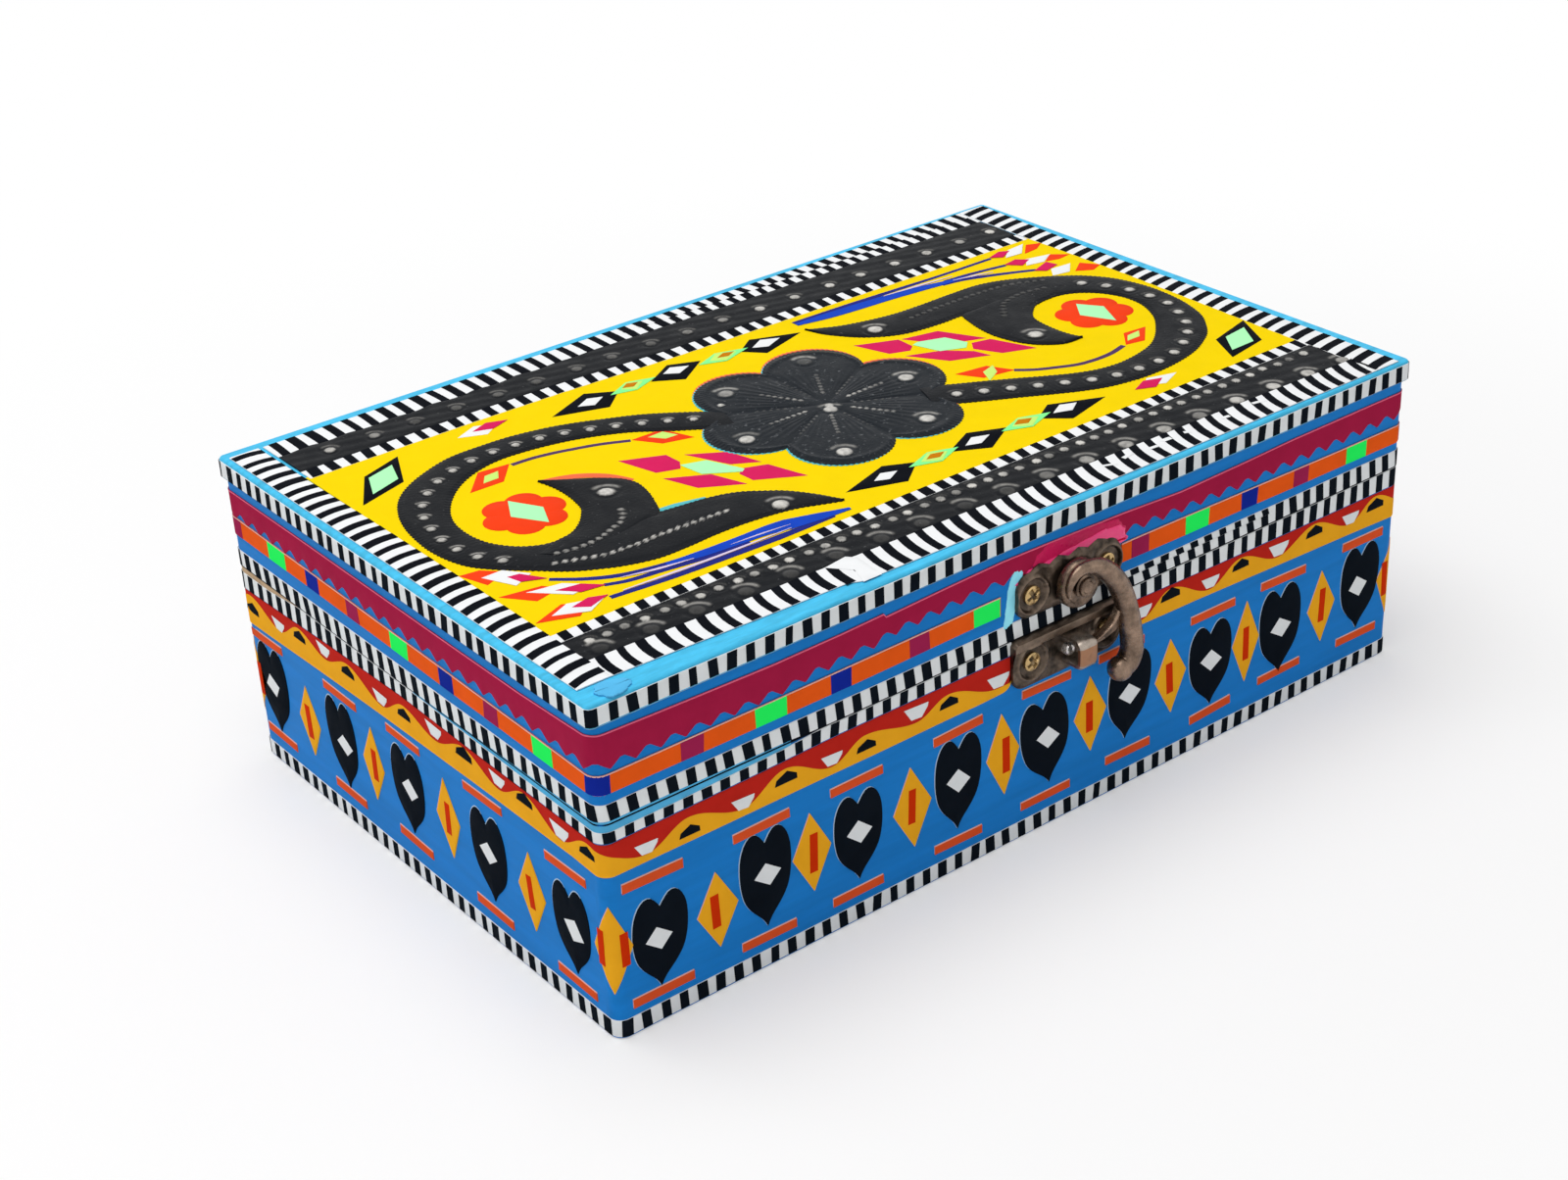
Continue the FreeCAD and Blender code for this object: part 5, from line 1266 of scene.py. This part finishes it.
# touch-up paint: pink over the crimson tape by the latch, sky blue beside the plate and at the near corner
touchUp = dict(smear=[(-4.5, 69.8), (-3.6, 73), (-1, 75.7), (4, 76.3), (10, 76.1), (18, 75.7), (22.5, 74.8),
               (25.5, 73), (24.8, 69.6), (16, 69.2), (8, 69), (0, 68.8)], pink=[(-9.4, 69.4), (-6.5, 71.2),
               (0, 72.1), (8, 72.9), (14, 73.5), (20, 73.7), (23.6, 73.2), (25, 72.2), (25.4, 69.6),
               (16, 69.2), (8, 69), (0, 68.8), (-6, 68.2)], sky=[(-13, 59.4), (-12.3, 63), (-11.7, 67),
               (-11.1, 70), (-9.8, 72.4), (-7.3, 72.6), (-6.9, 70.5), (-7.8, 68), (-9, 65.5), (-9.5, 62.5),
               (-10.8, 59.3)], corner=[(-121.4, -77), (-118.8, -74.4), (-115.6, -74.9), (-112.6, -77.6),
               (-114.6, -79.6), (-119.6, -80.3)])


def daub(key, count, seed, lay, *settings, number=0):
    points = touchUp[key]
    ring = throughPoints(points + points[:1], count + 1)[:-1]
    walk = circle(count)
    ragged = np.sin(7 * walk + seed) + np.sin(13 * walk + 2 * seed)
    rough = 1 + 0.03 * ragged + 0.02 * np.sin(29 * walk)
    return cutouts(ring.mean(0) + (ring - ring.mean(0)) * rough[:, None], lay, *settings, number=number)


pinks = [daub("smear", 90, 1, wall, 0.3, 0.05, 0.4, (0.9, 0.7, 0.4), number=1),
         daub("pink", 90, 4, wall, 0.55, 0.1, 0.8, (0.9, 0.75, 0.5))]
gridPiece("pinkTouchUp", pinks, ["pinkPaint", "pinkSmear"], "lid")
sky = daub("sky", 70, 2, wall, 0.3, 0.05, 0.4, (0.8, 0.5))
gridPiece("skyTouchUp", [sky], ["skyDaub"], "lid")
corner = daub("corner", 70, 3, topLay, 0.5, 0.05, 0.5, (0.8, 0.5))
gridPiece("cornerTouchUp", [corner], ["skyRim"], "lid")

# the latch: plates are sheets with relief, seen from the front as x right, z up and d out of the wall
pivot = sum(nodeBox("latch_rivet"))[[0, 2]] / 2
lidScrews, baseScrews = nodeBox("latch_lid_screws"), nodeBox("latch_base_screws")
plate = dict(round=4.0, thick=1.2, hollow=4.1, floor=0.75, rim=0.5, headRadius=2.35, scallops=4,
             scallopPitch=6.1, scallopHalf=3.0, scallopRise=1.2, rib=(2.4, 1.0), columns=150, across=60)
screwHalf = (lidScrews[1][0] - lidScrews[0][0]) / 2 - plate["headRadius"]


def screwSpots(level):
    return [np.array((pivot[0] + side * screwHalf, level)) for side in (-1, 1)]


# end-rounded plate: edges follow a rounded rectangle; x is spaced closer toward the ends
def plateEdges(node, height, squareTop=False, longer=0.0):
    low, high = nodeBox(node)
    low[0] -= longer   # the base plate reaches further left
    half, middle = (high[0] - low[0]) / 2, (high[0] + low[0]) / 2
    across = half * np.sin(np.linspace(-math.pi / 2, math.pi / 2, plate["columns"]))
    past = np.maximum(0, np.abs(across) - (half - plate["round"]))
    drop = plate["round"] - np.sqrt(np.maximum(0, plate["round"] ** 2 - past ** 2))
    topDrop = 0.8 * smoothStep(half - 0.8, half, np.abs(across)) if squareTop else drop
    return middle + across, low[2] + drop, low[2] + height - topDrop


def hollows(flat, screws):
    reach = np.stack([np.linalg.norm(flat - spot, axis=-1) for spot in screws]).min(0)
    bed = (plate["floor"] - plate["thick"]) * smoothStep(plate["hollow"] + 0.2, plate["hollow"] - 0.3, reach)
    return bed + plate["rim"] * np.exp(-((reach - plate["hollow"] - 0.45) / 0.38) ** 2)


def layPlate(name, x, bottom, upper, field, body, node, *more):
    sheet = sheetGrid(paired(x, bottom), paired(x, upper), plate["across"], frontLay, field)
    gridPiece(name, [sheet, *more], ["darkBronze"], body, [node], 35)


def lidField(flat, share):
    relief = hollows(flat, screwSpots(pivot[1]))
    swell = 0.45 * smoothStep(8.5, 5.5, np.abs(flat[..., 0] - pivot[0]))
    swell = swell * smoothStep(0.02, 0.2, share) * smoothStep(0.98, 0.8, share)
    edge = smoothStep(0, 0.06, share) * smoothStep(1, 0.94, share)
    height = (plate["thick"] + relief + swell) * (0.55 + 0.45 * edge)
    return height, np.clip(relief * 1.2 + swell * 0.5, 0, 1)


def baseField(flat, share):
    relief = hollows(flat, screwSpots((baseScrews[0][2] + baseScrews[1][2]) / 2))
    ribHeight, ribRise = plate["rib"]
    rib = ribRise * smoothStep(ribHeight + 0.5, ribHeight - 0.1, plateHigh[2] + 0.5 - flat[..., 1])
    edge = smoothStep(0, 0.06, share) * smoothStep(1, 0.96, share)
    proud = np.maximum(relief, 0)
    height = (plate["thick"] + np.where(rib > 0.1, proud, relief) + rib) * (0.55 + 0.45 * edge)
    return height, np.clip(proud + rib * 0.6, 0, 1)


x, bottom, upper = plateEdges("latch_lid_plate", 11.6)
middles = pivot[0] + (np.arange(plate["scallops"]) - (plate["scallops"] - 1) / 2) * plate["scallopPitch"]
hump = np.maximum(0, 1 - np.abs(x[:, None] - middles) / plate["scallopHalf"]).max(1)
boss = turned([(0, 0.5), (4.2, 0.5), (4.2, 2.1), (4.0, 2.4), (0, 2.45)], pivot)
upper = upper + plate["scallopRise"] * hump ** 0.8
layPlate("lidPlate", x, bottom, upper, lidField, "lid", "latch_lid_plate", boss)
layPlate("basePlate", *plateEdges("latch_base_plate", 13.3, True, 1.4), baseField, "base", "latch_base_plate")

# screw heads: a low dome in polar rings with a crossed slot sunk into it
screwHead = dict(rise=1.0, slot=0.5, slotReach=1.75, depth=0.55, rings=16, steps=56)


def screwHeads(spots, foot, turns):
    share, angle = np.linspace(0, 1, screwHead["rings"])[:, None], circle(screwHead["steps"])
    u, v = share * plate["headRadius"] * np.cos(angle), share * plate["headRadius"] * np.sin(angle)
    heads, bright = [], []
    for (midX, midZ), turn in zip(spots, turns):
        a, b = u * math.cos(turn) + v * math.sin(turn), v * math.cos(turn) - u * math.sin(turn)
        narrow, wide = np.minimum(np.abs(a), np.abs(b)), np.maximum(np.abs(a), np.abs(b))
        sunk = smoothStep(screwHead["slot"] + 0.12, screwHead["slot"] - 0.1, narrow)
        sunk = sunk * smoothStep(screwHead["slotReach"] + 0.15, screwHead["slotReach"] - 0.1, wide)
        depth = foot + screwHead["rise"] * (1 - 0.45 * share ** 3) - screwHead["depth"] * sunk
        below = np.full((1, len(angle)), foot - 0.3)
        x, z = midX + u, midZ + v
        rows = frontLay(x, z, depth), frontLay(x[-1:], z[-1:], below), frontLay(midX, midZ, below)
        heads.append(np.concatenate(rows))
        bright.append(np.pad(1 - sunk, ((0, 2), (0, 0))))
    return block(np.stack(heads), worn=np.stack(bright))


for body, box in (("lid", lidScrews), ("base", baseScrews)):
    heads = screwHeads(screwSpots((box[0][2] + box[1][2]) / 2), plate["floor"], (0.5, 0.2))
    node = "latch_" + body + "_screws"
    gridPiece(body + "ScrewHeads", [heads], ["brass"], body, [node], 30)

# rivet: a shank with a round-edged head and a ring turned into it, as (radius, depth behind the face)
rivetHead = [(1.6, 2.6), (2.9, 2.6), (2.9, 1.1), (2.4, 0.9), (2.4, 0.6), (2.3, 0.15), (1.95, 0), (1.7, 0.02),
             (1.5, 0.2), (1.3, 0.02), (0.8, -0.02), (0, -0.03)]
face = wallLow[1] - nodeBox("latch_rivet")[0][1] - 1.4
profile = [(0, 2.4), (1.6, 2.4)] + [(radius, face - behind) for radius, behind in rivetHead]
worn = np.clip(np.linspace(-0.6, 0.6, len(profile)), 0, 1)[:, None]
rivet = turned(profile, pivot, worn=worn)
gridPiece("rivet", [rivet], ["bronze"], "lid", ["latch_rivet"], 35)

# Hook: an eye, a round arm that curls round the eye's face from its left, runs over and down along
# stations from the pivot (x, z, thickness, distance from the wall) and ends in a ball, and a curved
# tongue, as (share of its sweep, inner and outer radius).
hook = dict(stand=4.5, eye=6.0, eyeFront=5.2, ball=3.15, tongueHalf=0.8, tongueFrom=-40.0, tongueTo=-77.5,
            steps=190, round=30, arm=[(-4.3, -1.8, 0.5, 5.5), (-4.6, 0, 0.8, 5.6), (-4.2, 2, 1.05, 5.7),
            (-2.2, 4, 1.35, 5.7), (2.2, 4, 1.8, 5.5), (5.4, 2.7, 2.3, 5.3), (8, 0.5, 2.6, 5.3),
            (10.4, -2.3, 2.7, 5.3), (12.2, -5.4, 2.7, 5.3), (14.1, -10.3, 2.7, 5.4),
            (15.3, -15.6, 2.75, 5.5), (15.9, -19.8, 2.8, 5.6), (15.9, -23, 2.85, 5.7),
            (14.5, -25.7, 2.9, 5.7), (12.2, -26.8, 2.9, 5.7)], tongue=[(0, 15.6, 20), (0.4, 16.5, 19.6),
            (1, 16.3, 17.8)])


def layHook():
    rim, front, ball = hook["eye"], hook["eyeFront"], hook["ball"]
    eye = [(1.7, 2.5), (rim - 0.4, 2.5), (rim, 2.9), (rim, front - 0.6), (rim - 0.25, front - 0.2),
           (rim - 0.7, front), (4.8, front), (4.5, front - 0.25), (3.2, front - 0.3), (2.8, front - 0.1),
           (1.7, front - 0.1)]
    stations = throughPoints(hook["arm"], hook["steps"])
    run = np.gradient(stations[:, :2], axis=0)
    run /= np.linalg.norm(run, axis=1, keepdims=True)
    walk = chordLength(stations[:, :2])
    on = np.linspace(0.2, ball, 12)   # the ball is the tube's own swollen end
    stations, run = (np.concatenate([rows, np.repeat(rows[-1:], 12, 0)]) for rows in (stations, run))
    stations[-12:, :2] += run[-12:] * on[:, None]
    walk = np.concatenate([walk, walk[-1] + on])
    path, thick, depth = stations[:, :2], stations[:, 2], stations[:, 3:]
    toBall = walk - (walk[-1] - ball)
    sphere = np.sqrt(np.maximum(0, ball ** 2 - toBall ** 2))
    swollen = np.maximum(thick * smoothStep(0.5, -1.5, toBall), sphere)
    thick = np.where(toBall > -ball, swollen, thick)[:, None]
    angle = circle(hook["round"])
    x = pivot[0] + path[:, :1] - run[:, 1:] * thick * np.cos(angle)
    z = pivot[1] + path[:, 1:] + run[:, :1] * thick * np.cos(angle)
    arm = frontLay(x, z, depth + thick * np.sin(angle))
    # the arm's outward side is made brighter and its side toward the wall darker: painted highlight and
    # painted shade
    armLitSide = np.clip(np.sin(angle) * 0.5 + 0.1, 0, 1)
    turn = np.radians(np.linspace(hook["tongueFrom"], hook["tongueTo"], 50))[:, None]
    sweep, *radii = np.array(hook["tongue"]).T
    inner, outer = (np.interp(np.linspace(0, 1, 50), sweep, radius)[:, None] for radius in radii)
    across, up = np.array([(-1, -0.7), (-1, 1.2), (-0.85, 1.7), (-0.55, 1.7), (-0.3, 1.1), (0.9, 1), (1, 0.7),
                           (1, -0.7), (0.9, -1), (-0.9, -1)]).T
    radius = (inner + outer) / 2 + (outer - inner) / 2 * across
    tongue = frontLay(pivot[0] + radius * np.cos(turn), pivot[1] + radius * np.sin(turn),
                      hook["stand"] + hook["tongueHalf"] * up + 0 * turn)
    # the tongue's inner edge is made bright: painted highlight
    blocks = [turned(eye, pivot, 56, ring=True), block(closeEnds(arm), worn=armLitSide),
              block(closeEnds(tongue), worn=np.where(across < -0.5, 1.0, 0.1))]
    gridPiece("hook", blocks, ["bronze"], "hook", ["latch_hook"], 35)


layHook()


# keeper: a flat strip bent out from the plate, across and back, with a thicker bevelled face, and a
# small pin inside
def layKeeper():
    low, high = nodeBox("latch_keeper")
    out, foot = wallLow[1] - low[1], plate["thick"] - 0.2
    middle, half = (low[2] + high[2]) / 2, (high[2] - low[2]) / 2
    line = [(foot, half - 0.8), (2.6, half - 0.75), (4.4, half - 0.75), (out - 2.0, half - 0.85),
            (out - 1.0, half - 1.6), (out - 0.75, half - 3), (out - 0.75, 0)]
    path = throughPoints(line + [(d, -z) for d, z in line[-2::-1]], 70)
    run = np.gradient(path, axis=0)
    run /= np.linalg.norm(run, axis=1, keepdims=True)
    side, rise = np.array([(-1, -0.5), (-1, 0.3), (-0.72, 0.75), (0.72, 0.75), (1, 0.3), (1, -0.5),
                           (0.8, -0.7), (-0.8, -0.7)]).T
    face = smoothStep(out - 2.4, out - 1.0, path[:, :1])
    midX, width = (low[0] + high[0]) / 2, (high[0] - low[0]) / 2
    swell = rise * (0.95 + 0.1 * face)
    strip = frontLay(midX + side * width * (0.86 + 0.14 * face), middle + path[:, 1:] + run[:, :1] * swell,
                     path[:, :1] + run[:, 1:] * -swell)
    worn = (face * np.where(rise > 0.2, 0.9, 0.2)).clip(0.35)
    first, last = 27, 43   # rows where the face begins and ends
    lengths = (slice(0, first + 1), 2), (slice(first, last + 1), 0), (slice(last, None), 2)
    blocks = [block(closeEnds(strip[rows]), number, np.pad(worn[rows], ((1, 1), (0, 0)), "edge"))
              for rows, number in lengths]
    pin = [(0, 1.0), (1.5, 1.0), (1.5, 2.4), (1.3, 2.9), (0.8, 3.2), (0, 3.3)]
    blocks.append(turned(pin, (midX - 1.2, middle - 0.3), 24, number=1))
    finishes = ["copper", "paleMetal", "steel"]
    gridPiece("keeper", blocks, finishes, "base", ["latch_keeper"], 35)


layKeeper()
print("latch made")

# hinges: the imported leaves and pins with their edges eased
for name in [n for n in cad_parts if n.startswith("hinge_")]:
    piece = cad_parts[name]
    piece.modifiers.new("weld", "WELD").merge_threshold = 1e-6
    bevel = piece.modifiers.new("easedEdges", "BEVEL")
    bevel.width, bevel.segments, bevel.limit_method, bevel.angle_limit = 0.00025, 2, "ANGLE", math.radians(40)
print("hinges eased")

# camera, floor and light
view = dict(place=(-352.75, -453.61, 344.87), azimuth=-36.680, elevation=28.466, roll=-2.973, lens=58.22)
stage = dict(ambient=0.40, floorSize=6.0, floorTone=0.94, whiteFrom=0.14, whiteAt=0.42, whiteNear=0.35)
# name, place, aim, width, watts
lamps = [
    ("ceilingSoftbox", (-0.25, 0.15, 1.3), (0, 0, 0.05), 1.1, 13.5),
    ("leftSoftbox", (-1.3, -0.05, 0.55), (0, 0, 0.05), 0.9, 0.5),
    ("rightFill", (0.7, -1.3, 0.4), (0, 0, 0.05), 0.9, 0.6),
]


def addObject(name, data):
    piece = bpy.data.objects.new(name, data)
    scene.collection.objects.link(piece)
    return piece


def addCamera():
    data = bpy.data.cameras.new("photoCamera")
    data.lens, data.sensor_width = view["lens"], 36
    data.clip_start, data.clip_end = 0.01, 20
    camera = addObject("photoCamera", data)
    azimuth, elevation = math.radians(view["azimuth"]), math.radians(view["elevation"])
    back = Vector((math.sin(azimuth) * math.cos(elevation), -math.cos(azimuth) * math.cos(elevation),
                   math.sin(elevation)))
    level = Vector((math.cos(azimuth), math.sin(azimuth), 0))
    roll = Matrix.Rotation(math.radians(view["roll"]), 3, back)
    camera.matrix_world = Matrix((roll @ level, roll @ back.cross(level), back)).transposed().to_4x4()
    camera.location = Vector(view["place"]) * mm
    scene.camera = camera


# far from the box the floor is seen as plain white, near it the shadow stays
def addFloor():
    mesh = bpy.data.meshes.new("studioFloor")
    half = stage["floorSize"] / 2
    corners = [(-half, -half, 0), (half, -half, 0), (half, half, 0), (-half, half, 0)]
    mesh.from_pydata(corners, [], [(0, 1, 2, 3)])
    floor = addObject("studioFloor", mesh)
    floor.location.z = -0.0002
    material, tree, shader = startMaterial("paleFloor")
    feed(tree, shader, {"Base Color": (*(stage["floorTone"],) * 3, 1.0), "Roughness": 0.9})
    away = addNode(tree, "VectorMath", {0: objectPlace(tree)}, operation="LENGTH").outputs["Value"]
    far = ramp(tree, away, stage["whiteFrom"], stage["whiteAt"], stage["whiteNear"],
               interpolation_type="SMOOTHSTEP")
    whiten = compute(tree, "MULTIPLY", far, addNode(tree, "LightPath").outputs["Is Camera Ray"])
    white = addNode(tree, "Emission", {"Color": (1, 1, 1, 1), "Strength": 1.0})
    blend = addNode(tree, "MixShader", {0: whiten, 1: shader.outputs[0], 2: white.outputs[0]})
    tree.links.new(blend.outputs[0], tree.get_output_node("CYCLES").inputs[0])
    mesh.materials.append(material)


def addLight():
    for name, place, aim, width, watts in lamps:
        data = bpy.data.lights.new(name, "AREA")
        data.size, data.energy, data.shape = width, watts, "SQUARE"
        lamp = addObject(name, data)
        lamp.location = place
        lamp.rotation_mode = "QUATERNION"
        lamp.rotation_quaternion = (Vector(aim) - Vector(place)).to_track_quat("-Z", "Y")
    world = bpy.data.worlds.new("whiteRoom")
    scene.world = world
    world.use_nodes = True
    tree = world.node_tree
    tree.nodes.clear()
    path = addNode(tree, "LightPath").outputs
    seen = compute(tree, "MAXIMUM", path["Is Camera Ray"], path["Is Glossy Ray"])
    seen = compute(tree, "MAXIMUM", seen, path["Is Transmission Ray"])
    strength = ramp(tree, seen, 0, 1, stage["ambient"], 1.0)
    light = addNode(tree, "Background", {"Color": (1, 1, 1, 1), "Strength": strength})
    addNode(tree, "OutputWorld", {0: light.outputs[0]})


addCamera()
addFloor()
addLight()
scene.view_settings.view_transform = "Standard"
print("camera, floor and lamps set")
